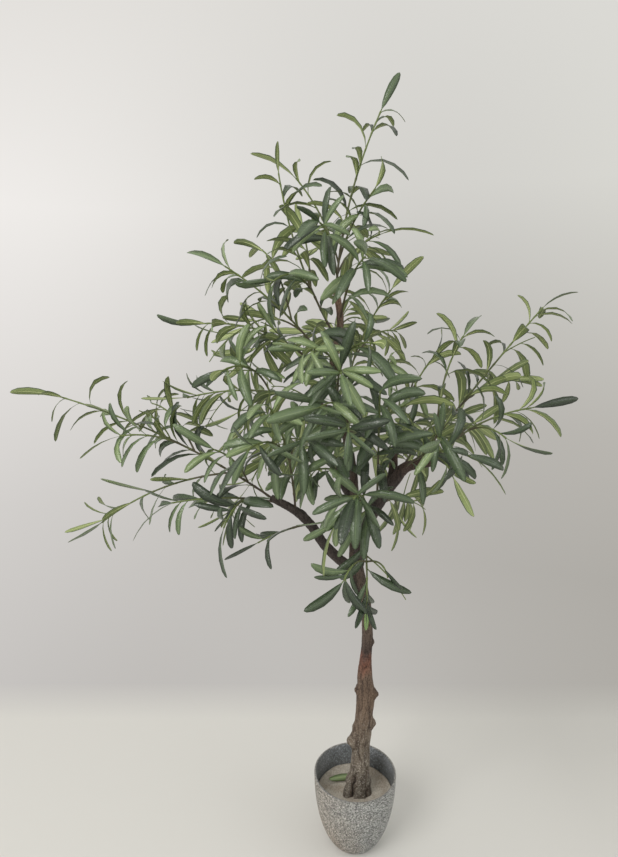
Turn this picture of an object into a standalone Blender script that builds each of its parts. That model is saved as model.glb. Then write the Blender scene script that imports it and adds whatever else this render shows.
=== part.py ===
"""Artificial olive tree in a small round pot, about one and a half metres tall.

Run with: blender --background --python part.py

The tree stands on the pot's flat underside at Z = 0, in metres, with +Z up.
Its front is towards -Y, and the crown reaches furthest towards -X.

Order of the build:
1. the pot and the cement that fills it,
2. the trunk, which runs up to the leader's stub, and four short boughs,
3. every twig of every mass of foliage, laid from its limb,
4. the leaves, dealt out along the twigs by a seeded rule,
5. one union for each mass.
"""

import bpy
import bmesh
import math
import random
from mathutils import Vector
from mathutils.bvhtree import BVHTree
from mathutils.kdtree import KDTree

# ---------------------------------------------------------------- sizes
GAP = 0.0003                # clear space between pieces that meet

POT_HEIGHT = 0.1645
POT_RIM_RADIUS = 0.0855
POT_WALL = 0.0035
POT_FLOOR = 0.0050
POT_CURVE_DEPTH = 0.188     # height over which the wall would close to a point
POT_CURVE_POWER = 2.18      # 2 is an ellipse, more is squarer
POT_FOOT_EDGE = 0.0020      # rounding of the foot and of the rim
POT_RIM_FLAT = (0.25, 0.75) # the rim is flat between these shares of the wall
POT_SIDES = 30
POT_RINGS = 7

FILLER_TOP = 0.1135
FILLER_RINGS = 4

LIMB_CLEAR = 0.0004         # how far a limb is grown before it trims its neighbour
TRUNK_SIDES = 9
BOUGH_SIDES = 9
TRUNK_RING_GAP = 0.014
UPPER_RING_GAP = 0.030
BOUGH_RING_GAP = 0.018
CLEAR_TRUNK_TOP = 0.56      # above this the trunk is in foliage and gets fewer rings
# Slow waves of the bark: times round, turning per metre along, phases, share of the radius.
BARK_WAVES = [(3, 55, 1, 0.027), (2, -90, 2, 0.0189)]
KNOB_ROUNDNESS = 0.75       # a knob's fall-off, as a share of its spread
FLARE_LOBES = 3
FLARE_DEPTH = 0.16          # depth of the lobes at the foot of the trunk
FLARE_HEIGHT = 0.030        # height over which the lobes fade

TWIG_ROOT_RADIUS = 0.0026
TWIG_TIP_RADIUS = 0.0015
SIDE_TWIG_SHARE = 0.85      # a side twig's root radius, as a share of the stem's
TWIG_STEP = 0.050           # length of one straight piece of a twig
TWIG_UPRIGHT = 0.2          # a twig nearer than this to upright bows sideways

LEAF_LENGTH = (0.066, 0.090)
LEAF_TIP_SHARE = 0.80       # leaves near a twig's tip are this much shorter
LEAF_WIDTH_SHARE = 0.26     # at the corners; the edges run straight from them
LEAF_THICKNESS = 0.0019
LEAF_STEPS = 4              # straight pieces of a leaf's middle line, an even number
LEAF_GAP = 0.0245           # distance between leaves along a twig
LEAF_TIP_GAP = 0.0140       # the same in the last stretch
LEAF_TIP_STRETCH = 0.040
LEAF_GAP_SCATTER = 0.15
BARE_ROOT = 0.030           # a twig has no leaves this close to its root
LEAF_TURN = math.radians(137.5)
LEAF_TURN_SCATTER = math.radians(22)
LEAF_NEXT_TRY = math.radians(50)    # turned on by this where the first place is taken
LEAF_LEAN = (math.radians(28), math.radians(52))
LEAF_BEND = (math.radians(25), math.radians(75))
LEAF_DROOP = (0.15, 0.55)
TIP_LEAN = (math.radians(5), math.radians(20))      # the last leaf goes on from the twig
TIP_BEND = (math.radians(5), math.radians(30))
TIP_DROOP = (0.0, 0.20)
LEAF_TRIES = 5
LEAF_ROOT_SINK = 0.0003     # how far a leaf's root goes past the twig's axis
LEAF_SPARE = 0.0008         # clear space kept round each leaf
FLAT_ENOUGH = math.radians(1.5)     # faces that meet flatter than this become one
SPACE_SHARE = 0.30          # a leaf may not come this much nearer to another mass

# ---------------------------------------------------------------- limbs
# Rows of x, y, z and radius along each limb's axis.
TRUNK_ROWS = [
    (0.005, 0.000, FILLER_TOP + GAP, 0.0275), (0.007, 0.000, 0.140, 0.0235),
    (0.010, 0.001, 0.175, 0.0200), (0.0125, 0.003, 0.235, 0.0178),
    (0.018, 0.003, 0.300, 0.0180), (0.019, 0.002, 0.350, 0.0183),
    (0.0172, 0.001, 0.388, 0.0152), (0.018, 0.000, 0.430, 0.0117),
    (0.0195, 0.000, 0.485, 0.0108), (0.014, 0.000, 0.545, 0.0113),
    (-0.004, 0.002, 0.622, 0.0135), (-0.008, 0.015, 0.690, 0.0098),
    (-0.010, 0.020, 0.780, 0.0086), (-0.020, 0.018, 0.855, 0.0079),
    (-0.044, 0.015, 0.938, 0.0071), (-0.054, 0.015, 1.005, 0.0066),
    (-0.040, 0.019, 1.090, 0.0063), (-0.048, 0.020, 1.148, 0.0060),
]
LEFT_BOUGH_ROWS = [
    (-0.004, 0.002, 0.615, 0.0110), (-0.038, -0.010, 0.645, 0.0100),
    (-0.069, -0.020, 0.682, 0.0094), (-0.093, -0.028, 0.722, 0.0090),
    (-0.123, -0.032, 0.752, 0.0082), (-0.166, -0.035, 0.778, 0.0064),
]
RIGHT_BOUGH_ROWS = [
    (-0.004, 0.002, 0.622, 0.0120), (0.008, -0.006, 0.690, 0.0115),
    (0.021, -0.016, 0.738, 0.0112), (0.043, -0.028, 0.783, 0.0108),
    (0.060, -0.038, 0.813, 0.0105), (0.079, -0.047, 0.840, 0.0096),
    (0.122, -0.050, 0.848, 0.0068),
]
RIGHT_FORK_ROWS = [
    (0.046, -0.029, 0.788, 0.0088), (0.058, -0.020, 0.822, 0.0084),
    (0.060, -0.012, 0.857, 0.0076),
]
MIDDLE_BOUGH_ROWS = [
    (-0.009, 0.020, 0.750, 0.0080), (-0.030, 0.037, 0.783, 0.0078),
    (-0.041, 0.050, 0.828, 0.0066),
]

# Knobs where branches were cut off: share of the limb's length, angle round
# it in degrees (0 is to the side, 90 to the back), height and spread in metres.
TRUNK_KNOBS = [
    (0.118, 195, 0.0085, 0.0100), (0.142, 150, 0.0050, 0.0100), (0.158, 5, 0.0050, 0.0090),
    (0.224, 350, 0.0085, 0.0075), (0.232, 185, 0.0055, 0.0080), (0.300, 260, 0.0040, 0.0080),
    (0.336, 0, 0.0040, 0.0060), (0.470, 200, 0.0040, 0.0080),
]
LEFT_BOUGH_KNOBS = [(0.52, 100, 0.0050, 0.0080), (0.72, 80, 0.0045, 0.0070)]
RIGHT_BOUGH_KNOBS = [(0.42, 200, 0.0040, 0.0080), (0.80, 90, 0.0045, 0.0080)]

# ---------------------------------------------------------------- foliage
# name, limb, place on the limb, seed, then its twigs. The first twig is the stem
# and starts in the limb; the others start on the stem, at the share given last.
# A twig is (x, y, z of its tip, bow upwards, share along the stem).
MASSES = [
    ("crown_top", "trunk", 1.0, 289, [
        (0.023, 0.000, 1.442, 0.015, 0), (0.010, -0.060, 1.310, 0.010, 0.18),
        (-0.120, 0.050, 1.345, 0.010, 0.16), (0.010, 0.120, 1.230, 0.015, 0.10),
        (-0.080, -0.130, 1.250, 0.020, 0.08)]),
    ("crown_top_left", "trunk", 0.915, 280, [
        (-0.150, 0.030, 1.350, -0.015, 0), (-0.160, -0.080, 1.160, 0.025, 0.30),
        (-0.110, 0.140, 1.260, 0.020, 0.35)]),
    ("crown_middle", "trunk", 0.950, 249, [
        (-0.010, -0.130, 1.200, 0.020, 0), (0.020, -0.060, 1.240, 0.020, 0.45)]),
    ("upper_left", "trunk", 0.86, 255, [
        (-0.240, -0.030, 1.190, 0.015, 0), (-0.190, 0.160, 1.230, 0.020, 0.45),
        (-0.220, 0.120, 1.080, 0.020, 0.35)]),
    ("upper_left_low", "trunk", 0.83, 256, [
        (-0.300, 0.040, 1.090, 0.040, 0), (-0.220, 0.150, 0.990, 0.030, 0.45)]),
    ("mid_left", "trunk", 0.79, 186, [
        (-0.330, 0.050, 0.950, 0.025, 0), (-0.240, -0.100, 1.020, 0.025, 0.45),
        (-0.230, 0.140, 0.870, 0.020, 0.40)]),
    ("left_reach", "left_bough", 1.0, 114, [
        (-0.550, -0.020, 0.965, 0.018, 0), (-0.430, -0.060, 0.900, 0.010, 0.42),
        (-0.490, -0.010, 0.720, 0.020, 0.20), (-0.410, 0.100, 0.930, 0.020, 0.38),
        (-0.260, -0.080, 0.880, 0.010, 0.12)]),
    ("left_low", "left_bough", 0.90, 231, [
        (-0.340, -0.070, 0.780, 0.010, 0), (-0.240, -0.140, 0.760, 0.015, 0.30),
        (-0.250, 0.050, 0.720, 0.010, 0.30)]),
    ("left_under", "left_bough", 0.62, 200, [
        (-0.190, -0.060, 0.700, 0.005, 0)]),
    ("left_inner", "left_bough", 0.78, 167, [
        (-0.160, -0.160, 0.970, 0.025, 0), (-0.190, -0.200, 0.910, 0.020, 0.45),
        (-0.100, -0.180, 0.920, 0.020, 0.40)]),
    ("middle_front", "trunk", 0.640, 176, [
        (-0.100, -0.120, 0.850, 0.020, 0), (-0.050, -0.130, 0.880, 0.010, 0.40)]),
    ("fork_front", "right_bough", 0.26, 113, [
        (0.008, -0.090, 0.590, 0.030, 0), (-0.035, -0.110, 0.650, 0.015, 0.45),
        (0.045, -0.090, 0.645, 0.015, 0.45)]),
    ("centre_low_front", "right_bough", 0.38, 167, [
        (-0.030, -0.250, 0.850, 0.020, 0), (-0.050, -0.160, 0.780, 0.010, 0.45)]),
    ("centre_front", "trunk", 0.72, 206, [
        (-0.040, -0.250, 0.950, 0.025, 0), (-0.080, -0.220, 0.980, 0.020, 0.50)]),
    ("centre_high_front", "trunk", 0.80, 149, [
        (-0.050, -0.220, 1.030, 0.030, 0), (-0.100, -0.180, 1.060, 0.020, 0.45),
        (0.000, -0.160, 1.070, 0.020, 0.45)]),
    ("right_inner", "right_bough", 0.50, 152, [
        (0.010, -0.200, 1.000, 0.025, 0), (0.060, -0.100, 0.960, 0.015, 0.50)]),
    ("upper_right", "trunk", 0.75, 116, [
        (0.050, 0.020, 1.150, 0.025, 0), (0.080, 0.140, 1.070, 0.020, 0.50)]),
    ("right_mid", "right_fork", 1.0, 201, [
        (0.140, 0.050, 1.030, 0.020, 0), (0.090, -0.060, 0.980, 0.020, 0.55)]),
    ("right_high", "right_bough", 0.90, 108, [
        (0.330, 0.030, 1.120, 0.005, 0), (0.180, 0.000, 1.070, 0.020, 0.18),
        (0.300, 0.080, 0.980, 0.015, 0.35)]),
    ("right_arm", "right_bough", 1.0, 156, [
        (0.290, -0.060, 0.950, 0.020, 0), (0.230, -0.120, 0.910, 0.010, 0.45),
        (0.220, 0.040, 0.900, 0.010, 0.35)]),
    ("right_front", "right_bough", 0.80, 257, [
        (0.150, -0.200, 0.900, 0.020, 0), (0.100, -0.220, 0.930, 0.020, 0.50),
        (0.140, -0.140, 0.850, 0.010, 0.45)]),
    ("right_back_low", "right_bough", 0.46, 282, [
        (0.120, 0.140, 0.710, 0.015, 0), (0.090, 0.110, 0.680, 0.005, 0.50)]),
    ("right_back", "right_bough", 0.76, 161, [
        (0.230, 0.220, 0.870, 0.030, 0), (0.150, 0.200, 0.830, 0.020, 0.45)]),
    ("back_left", "middle_bough", 1.0, 182, [
        (-0.200, 0.260, 0.800, 0.030, 0), (-0.120, 0.260, 0.750, 0.020, 0.45),
        (-0.220, 0.160, 0.750, 0.020, 0.40)]),
    ("back_centre", "trunk", 0.70, 138, [
        (-0.040, 0.290, 0.820, 0.030, 0), (0.060, 0.250, 0.780, 0.020, 0.50),
        (-0.070, 0.220, 0.960, 0.010, 0.45)]),
    ("back_high", "trunk", 0.85, 127, [
        (-0.040, 0.260, 1.070, 0.030, 0), (-0.120, 0.200, 1.040, 0.020, 0.50),
        (0.020, 0.200, 1.090, 0.020, 0.50)]),
]


# ---------------------------------------------------------------- helpers
def clear_scene():
    for thing in list(bpy.data.objects):
        bpy.data.objects.remove(thing, do_unlink=True)


def make_material(name, colour, roughness):
    material = bpy.data.materials.new(name)
    material.use_nodes = True
    shader = material.node_tree.nodes["Principled BSDF"]
    shader.inputs["Base Color"].default_value = (*colour, 1.0)
    shader.inputs["Roughness"].default_value = roughness
    shader.inputs["Metallic"].default_value = 0.0
    material.diffuse_color = (*colour, 1.0)
    return material


def make_object(name, verts, faces, material, smooth=False):
    """A mesh object with its faces turned outwards."""
    mesh = bpy.data.meshes.new(name)
    shape = bmesh.new()
    corners = [shape.verts.new(v) for v in verts]
    for face in faces:
        shape.faces.new([corners[i] for i in face])
    bmesh.ops.recalc_face_normals(shape, faces=shape.faces)
    for face in shape.faces:
        face.smooth = smooth
    shape.to_mesh(mesh)
    shape.free()
    mesh.materials.append(material)
    thing = bpy.data.objects.new(name, mesh)
    bpy.context.scene.collection.objects.link(thing)
    return thing


def apply_boolean(thing, operation, other=None, collection=None, solver="EXACT"):
    """Add one Boolean modifier, keep its result as the mesh and drop the modifier."""
    cut = thing.modifiers.new("join", "BOOLEAN")
    cut.operation = operation
    cut.solver = solver
    if collection is not None:
        cut.operand_type = "COLLECTION"
        cut.collection = collection
    else:
        cut.object = other
    bpy.context.view_layer.update()
    depsgraph = bpy.context.evaluated_depsgraph_get()
    result = bpy.data.meshes.new_from_object(thing.evaluated_get(depsgraph))
    old = thing.data
    thing.modifiers.remove(cut)
    thing.data = result
    bpy.data.meshes.remove(old)
    result.name = thing.name


def keep_largest_body(thing):
    """Drop any loose scrap, so the node is one closed body of triangles."""
    shape = bmesh.new()
    shape.from_mesh(thing.data)
    unseen = set(shape.verts)
    bodies = []
    while unseen:
        front = [unseen.pop()]
        body = set(front)
        while front:
            for edge in front.pop().link_edges:
                for corner in edge.verts:
                    if corner in unseen:
                        unseen.remove(corner)
                        body.add(corner)
                        front.append(corner)
        bodies.append(body)
    bodies.sort(key=len)
    scraps = [corner for body in bodies[:-1] for corner in body]
    bmesh.ops.delete(shape, geom=scraps, context="VERTS")
    bmesh.ops.dissolve_limit(shape, angle_limit=FLAT_ENOUGH, verts=shape.verts, edges=shape.edges)
    bmesh.ops.triangulate(shape, faces=shape.faces)
    shape.to_mesh(thing.data)
    shape.free()


# ---------------------------------------------------------------- pot
def pot_radius(height):
    """Outer radius of the pot at a height: a rounded curve, steep at the rim."""
    down = (POT_HEIGHT - height) / POT_CURVE_DEPTH
    return POT_RIM_RADIUS * (1 - down ** POT_CURVE_POWER) ** (1 / POT_CURVE_POWER)


def turned_solid(name, profile, material):
    """Turn a profile of (radius, height), from axis to axis, round the Z axis."""
    verts = [Vector((0, 0, profile[0][1])), Vector((0, 0, profile[-1][1]))]
    rings = []
    for radius, height in profile[1:-1]:
        rings.append(range(len(verts), len(verts) + POT_SIDES))
        for k in range(POT_SIDES):
            angle = 2 * math.pi * (k + 0.5) / POT_SIDES
            verts.append(Vector((radius * math.cos(angle), radius * math.sin(angle), height)))
    faces = []
    for k in range(POT_SIDES):
        after = (k + 1) % POT_SIDES
        faces.append((0, rings[0][after], rings[0][k]))
        faces.append((1, rings[-1][k], rings[-1][after]))
        for low, high in zip(rings, rings[1:]):
            faces.append((low[k], low[after], high[after], high[k]))
    return make_object(name, verts, faces, material, smooth=True)


def build_pot(material):
    wall = [POT_FOOT_EDGE + (POT_HEIGHT - 2 * POT_FOOT_EDGE) * k / POT_RINGS for k in range(POT_RINGS + 1)]
    inner_floor = POT_FLOOR + POT_FOOT_EDGE
    inside = [inner_floor + (POT_HEIGHT - POT_FOOT_EDGE - inner_floor) * k / POT_RINGS
              for k in range(POT_RINGS, -1, -1)]
    profile = [(0, 0), (pot_radius(0) - POT_FOOT_EDGE, 0)]
    profile += [(pot_radius(height), height) for height in wall]
    profile += [(POT_RIM_RADIUS - POT_WALL * share, POT_HEIGHT) for share in POT_RIM_FLAT]
    profile += [(pot_radius(height) - POT_WALL, height) for height in inside]
    profile += [(pot_radius(POT_FLOOR) - POT_WALL - POT_FOOT_EDGE, POT_FLOOR), (0, POT_FLOOR)]
    return turned_solid("pot", profile, material)


def build_filler(material):
    bottom = POT_FLOOR + POT_FOOT_EDGE + GAP
    side = POT_WALL + 2 * GAP
    heights = [bottom + (FILLER_TOP - bottom) * k / FILLER_RINGS for k in range(FILLER_RINGS + 1)]
    profile = [(0, POT_FLOOR + GAP), (pot_radius(POT_FLOOR) - side - POT_FOOT_EDGE, POT_FLOOR + GAP)]
    profile += [(pot_radius(height) - side, height) for height in heights]
    profile += [(0, FILLER_TOP)]
    return turned_solid("filler", profile, material)


# ---------------------------------------------------------------- limbs
def smooth_rows(rows, gap, top_gap, change):
    """Points and radii along a limb: a smooth curve through its rows."""
    knots = [Vector(row) for row in rows]
    points = []
    for k in range(len(knots) - 1):
        before = knots[max(k - 1, 0)]
        start, end = knots[k], knots[k + 1]
        after = knots[min(k + 2, len(knots) - 1)]
        wanted = gap if start.z < change else top_gap
        count = max(1, round((end.xyz - start.xyz).length / wanted))
        for step in range(count):
            t = step / count
            points.append(0.5 * (2 * start + (end - before) * t
                                 + (2 * before - 5 * start + 4 * end - after) * t ** 2
                                 + (3 * start - before - 3 * end + after) * t ** 3))
    points.append(knots[-1])
    return [point.xyz for point in points], [point.w for point in points]


class Limb:
    """A trunk or bough: its axis, and its skin as rings of corners."""

    def __init__(self, name, rows, sides, knobs=(), ring_gap=BOUGH_RING_GAP, flared=False, seed=0):
        knots = [Vector((x, y, z, radius)) for x, y, z, radius in rows]
        self.name = name
        change = CLEAR_TRUNK_TOP if flared else math.inf
        self.axis, self.radii = smooth_rows(knots, ring_gap, UPPER_RING_GAP, change)
        self.sides = sides
        self.knobs = knobs
        self.flared = flared
        self.phase = random.Random(seed).uniform(0, 2 * math.pi)
        self.lengths = [0.0]
        for a, b in zip(self.axis, self.axis[1:]):
            self.lengths.append(self.lengths[-1] + (b - a).length)

    def point_at(self, share):
        wanted = share * self.lengths[-1]
        for k in range(len(self.axis) - 1):
            if self.lengths[k + 1] >= wanted or k == len(self.axis) - 2:
                part = (wanted - self.lengths[k]) / (self.lengths[k + 1] - self.lengths[k])
                return self.axis[k].lerp(self.axis[k + 1], part)

    def skin_radius(self, ring, angle):
        """Radius with the bark's waves, the flare at the foot and the knobs."""
        along = self.lengths[ring]
        radius = self.radii[ring]
        for times, turning, phases, share in BARK_WAVES:
            wave = math.sin(times * angle + turning * along + phases * self.phase)
            radius += self.radii[ring] * share * wave
        if self.flared:
            lobes = math.cos(FLARE_LOBES * angle + self.phase)
            radius += self.radii[ring] * FLARE_DEPTH * lobes * math.exp(-along / FLARE_HEIGHT)
        for share, degrees, height, spread in self.knobs:
            off_along = along - share * self.lengths[-1]
            turn = (angle - math.radians(degrees) + math.pi) % (2 * math.pi) - math.pi
            off_round = turn * self.radii[ring]
            width = spread * KNOB_ROUNDNESS
            radius += height * math.exp(-(off_along ** 2 + off_round ** 2) / (2 * width ** 2))
        return radius

    def skin(self, grow=0.0):
        """Corners and faces of the limb's solid, grown outwards by a clearance."""
        verts = []
        last = len(self.axis) - 1
        for ring, centre in enumerate(self.axis):
            before = self.axis[max(ring - 1, 0)]
            after = self.axis[min(ring + 1, last)]
            along = (after - before).normalized()
            if self.flared and ring == 0:
                along = Vector((0, 0, 1))
            to_back = Vector((0, 1, 0))
            to_back = (to_back - along * to_back.dot(along)).normalized()
            to_side = to_back.cross(along).normalized()
            if ring == last:
                centre = centre + along * grow
            if ring == 0 and not self.flared:
                centre = centre - along * grow
            for k in range(self.sides):
                angle = 2 * math.pi * k / self.sides
                outwards = to_side * math.cos(angle) + to_back * math.sin(angle)
                verts.append(centre + outwards * (self.skin_radius(ring, angle) + grow))
        faces = [tuple(range(self.sides)), tuple(range(len(verts) - self.sides, len(verts)))]
        for ring in range(last):
            for k in range(self.sides):
                a = ring * self.sides + k
                b = ring * self.sides + (k + 1) % self.sides
                faces.append((a, b, b + self.sides))
                faces.append((a, b + self.sides, a + self.sides))
        return verts, faces

    def build(self, material, trims=()):
        thing = make_object(self.name, *self.skin(), material, smooth=True)
        for other in trims:
            cutter = make_object(other.name + "_space", *other.skin(LIMB_CLEAR), material)
            apply_boolean(thing, "DIFFERENCE", cutter)
            bpy.data.objects.remove(cutter, do_unlink=True)
        keep_largest_body(thing)
        return thing


# ---------------------------------------------------------------- twigs
class Twig:
    """A thin tapering stalk that bows upwards between its root and its tip."""

    def __init__(self, root, tip, bow, root_radius, tip_radius):
        chord = tip - root
        along = chord.normalized()
        upwards = Vector((0, 0, 1)) - along * along.z
        if upwards.length < TWIG_UPRIGHT:
            away = Vector((-1 if chord.x > 0 else 1, 0, 0))
            upwards = away - along * away.dot(along)
        control = (root + tip) / 2 + upwards.normalized() * (2 * bow)
        count = max(3, math.ceil(chord.length / TWIG_STEP))
        self.points = []
        for k in range(count + 1):
            t = k / count
            self.points.append(root * (1 - t) ** 2 + control * (2 * t * (1 - t)) + tip * t ** 2)
        self.radii = [root_radius + (tip_radius - root_radius) * k / count for k in range(count + 1)]
        self.lengths = [0.0]
        for a, b in zip(self.points, self.points[1:]):
            self.lengths.append(self.lengths[-1] + (b - a).length)

    def at(self, distance):
        """Point, direction and radius at a distance along the twig."""
        for k in range(len(self.points) - 1):
            if self.lengths[k + 1] >= distance or k == len(self.points) - 2:
                part = (distance - self.lengths[k]) / (self.lengths[k + 1] - self.lengths[k])
                along = (self.points[k + 1] - self.points[k]).normalized()
                radius = self.radii[k] + (self.radii[k + 1] - self.radii[k]) * part
                return self.points[k].lerp(self.points[k + 1], part), along, radius

    def skin(self, grow=0.0):
        """Corners and faces of a closed three-sided stalk."""
        verts = []
        sideways = (self.points[1] - self.points[0]).orthogonal().normalized()
        for k, point in enumerate(self.points):
            ahead = self.points[min(k + 1, len(self.points) - 1)]
            behind = self.points[max(k - 1, 0)]
            along = (ahead - behind).normalized()
            sideways = (sideways - along * sideways.dot(along)).normalized()
            other = along.cross(sideways)
            for corner in range(3):
                angle = 2 * math.pi * corner / 3
                outwards = sideways * math.cos(angle) + other * math.sin(angle)
                verts.append(point + outwards * (self.radii[k] + grow))
        faces = [(0, 2, 1), (len(verts) - 3, len(verts) - 2, len(verts) - 1)]
        for k in range(len(self.points) - 1):
            for corner in range(3):
                a = 3 * k + corner
                b = 3 * k + (corner + 1) % 3
                faces.append((a, b, b + 3))
                faces.append((a, b + 3, a + 3))
        return verts, faces


# ---------------------------------------------------------------- leaves
class Leaf:
    """A lance-shaped blade that bends away from its twig and sags a little."""

    def __init__(self, base, along, outwards, lean, bend, droop, length):
        self.base = base
        self.side = along.cross(outwards).normalized()
        self.length = length
        self.spine = [base.copy()]
        for k in range(LEAF_STEPS):
            angle = lean + bend * (k + 0.5) / LEAF_STEPS
            heading = along * math.cos(angle) + outwards * math.sin(angle)
            heading.z -= droop * (k + 0.5) / LEAF_STEPS
            self.spine.append(self.spine[-1] + heading.normalized() * (length / LEAF_STEPS))
        self.middle = self.spine[LEAF_STEPS // 2]

    def skin(self, grow=0.0):
        """Eight faces: a root, a tip and four corners round the middle."""
        first = (self.spine[1] - self.spine[0]).normalized()
        root = self.base - first * LEAF_ROOT_SINK
        middle = self.middle
        tip = self.spine[-1] + (self.spine[-1] - middle).normalized() * grow
        chord = (tip - root).normalized()
        side = (self.side - chord * self.side.dot(chord)).normalized()
        face = side.cross(chord)
        half_width = self.length * LEAF_WIDTH_SHARE / 2 + grow
        half_thickness = LEAF_THICKNESS / 2 + grow
        verts = [root, tip, middle + side * half_width, middle + face * half_thickness,
                 middle - side * half_width, middle - face * half_thickness]
        faces = []
        for k in range(4):
            faces.append((0, 2 + k, 2 + (k + 1) % 4))
            faces.append((1, 2 + (k + 1) % 4, 2 + k))
        return verts, faces


def tree_of(skin):
    verts, faces = skin
    return BVHTree.FromPolygons(verts, faces)


class Crown:
    """All twigs and leaves, with what each new one must keep clear of."""

    def __init__(self, limbs):
        self.limb_trees = [tree_of(limb.skin(LEAF_SPARE)) for limb in limbs.values()]
        self.twigs = {}
        self.leaves = {}
        self.laid = []
        self.limbs = limbs

    def lay_twigs(self, name, limb, place, rows):
        """Lay a mass's stem from its limb, then its side twigs from the stem."""
        own = []
        for x, y, z, bow, share in rows:
            tip = Vector((x, y, z))
            if not own:
                root = self.limbs[limb].point_at(place)
                thick = TWIG_ROOT_RADIUS
            else:
                stem = own[0]
                root = stem.at(share * stem.lengths[-1])[0]
                thick = TWIG_ROOT_RADIUS * SIDE_TWIG_SHARE
            own.append(Twig(root, tip, bow, thick, TWIG_TIP_RADIUS))
        self.twigs[name] = own
        self.leaves[name] = []

    def prepare(self):
        """Search trees for every twig, and for each mass's own and other twigs."""
        self.twig_trees = {name: [tree_of(twig.skin(LEAF_SPARE)) for twig in own]
                           for name, own in self.twigs.items()}
        self.near_own = {}
        self.near_other = {}
        for name in self.twigs:
            others = [twig for key, group in self.twigs.items() if key != name for twig in group]
            self.near_own[name] = self.point_tree(self.twigs[name])
            self.near_other[name] = self.point_tree(others)

    @staticmethod
    def point_tree(twigs):
        points = [point for twig in twigs for point in twig.points]
        tree = KDTree(len(points))
        for k, point in enumerate(points):
            tree.insert(point, k)
        tree.balance()
        return tree

    def is_free(self, leaf, name, own_twig):
        """True where a leaf keeps to its mass's space and touches nothing else."""
        tip = leaf.spine[-1]
        if self.near_other[name].find(tip)[2] < SPACE_SHARE * self.near_own[name].find(tip)[2]:
            return False
        tree = tree_of(leaf.skin(LEAF_SPARE))
        if any(tree.overlap(limb) for limb in self.limb_trees):
            return False
        for key, trees in self.twig_trees.items():
            for k, twig in enumerate(trees):
                if (key, k) != (name, own_twig) and tree.overlap(twig):
                    return False
        for centre, other in self.laid:
            if (centre - leaf.middle).length < LEAF_LENGTH[1] and tree.overlap(other):
                return False
        self.laid.append((leaf.middle, tree))
        return True

    def deal_leaves(self, name, chance):
        """Deal leaves out along every twig of a mass, root to tip."""
        for index, twig in enumerate(self.twigs[name]):
            whole = twig.lengths[-1]
            distance = BARE_ROOT + chance.uniform(0, LEAF_GAP)
            turn = chance.uniform(0, 2 * math.pi)
            self.try_leaf(name, index, whole - TWIG_TIP_RADIUS, turn, True, True, chance)
            while distance < whole - LEAF_TIP_GAP / 2:
                near_tip = whole - distance < LEAF_TIP_STRETCH
                self.try_leaf(name, index, distance, turn, near_tip, False, chance)
                gap = LEAF_TIP_GAP if near_tip else LEAF_GAP
                distance += gap * (1 + chance.uniform(-1, 1) * LEAF_GAP_SCATTER)
                turn += LEAF_TURN

    def try_leaf(self, name, index, distance, turn, near_tip, is_last, chance):
        base, along, _ = self.twigs[name][index].at(distance)
        sideways = along.orthogonal().normalized()
        other = along.cross(sideways)
        for _ in range(LEAF_TRIES):
            angle = turn + chance.uniform(-1, 1) * LEAF_TURN_SCATTER
            outwards = sideways * math.cos(angle) + other * math.sin(angle)
            lean = chance.uniform(*(TIP_LEAN if is_last else LEAF_LEAN))
            bend = chance.uniform(*(TIP_BEND if is_last else LEAF_BEND))
            droop = chance.uniform(*(TIP_DROOP if is_last else LEAF_DROOP))
            length = chance.uniform(*LEAF_LENGTH) * (LEAF_TIP_SHARE if near_tip and not is_last else 1.0)
            leaf = Leaf(base, along, outwards, lean, bend, droop, length)
            if self.is_free(leaf, name, index):
                self.leaves[name].append(leaf)
                return
            turn += LEAF_NEXT_TRY

    def build_mass(self, name, limb, material):
        """Join a mass's twigs and leaves into one solid, and clear it of its limb."""
        stem = make_object(name, *self.twigs[name][0].skin(), material)
        group = bpy.data.collections.new(name + "_pieces")
        bpy.context.scene.collection.children.link(group)
        for twig in self.twigs[name][1:]:
            piece = make_object("twig", *twig.skin(), material)
            bpy.context.scene.collection.objects.unlink(piece)
            group.objects.link(piece)
        for leaf in self.leaves[name]:
            piece = make_object("leaf", *leaf.skin(), material)
            bpy.context.scene.collection.objects.unlink(piece)
            group.objects.link(piece)
        apply_boolean(stem, "UNION", collection=group, solver="MANIFOLD")
        for piece in list(group.objects):
            bpy.data.objects.remove(piece, do_unlink=True)
        bpy.data.collections.remove(group)
        cutter = make_object("limb_space", *self.limbs[limb].skin(LIMB_CLEAR), material)
        apply_boolean(stem, "DIFFERENCE", cutter, solver="MANIFOLD")
        bpy.data.objects.remove(cutter, do_unlink=True)
        keep_largest_body(stem)
        return stem


# ---------------------------------------------------------------- build
clear_scene()

pot_grey = make_material("pot_grey", (0.20, 0.205, 0.21), 0.60)
cement = make_material("cement", (0.50, 0.48, 0.45), 0.90)
bark = make_material("bark", (0.115, 0.075, 0.055), 0.85)
foliage = make_material("foliage", (0.070, 0.120, 0.055), 0.55)

build_pot(pot_grey)
build_filler(cement)

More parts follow.
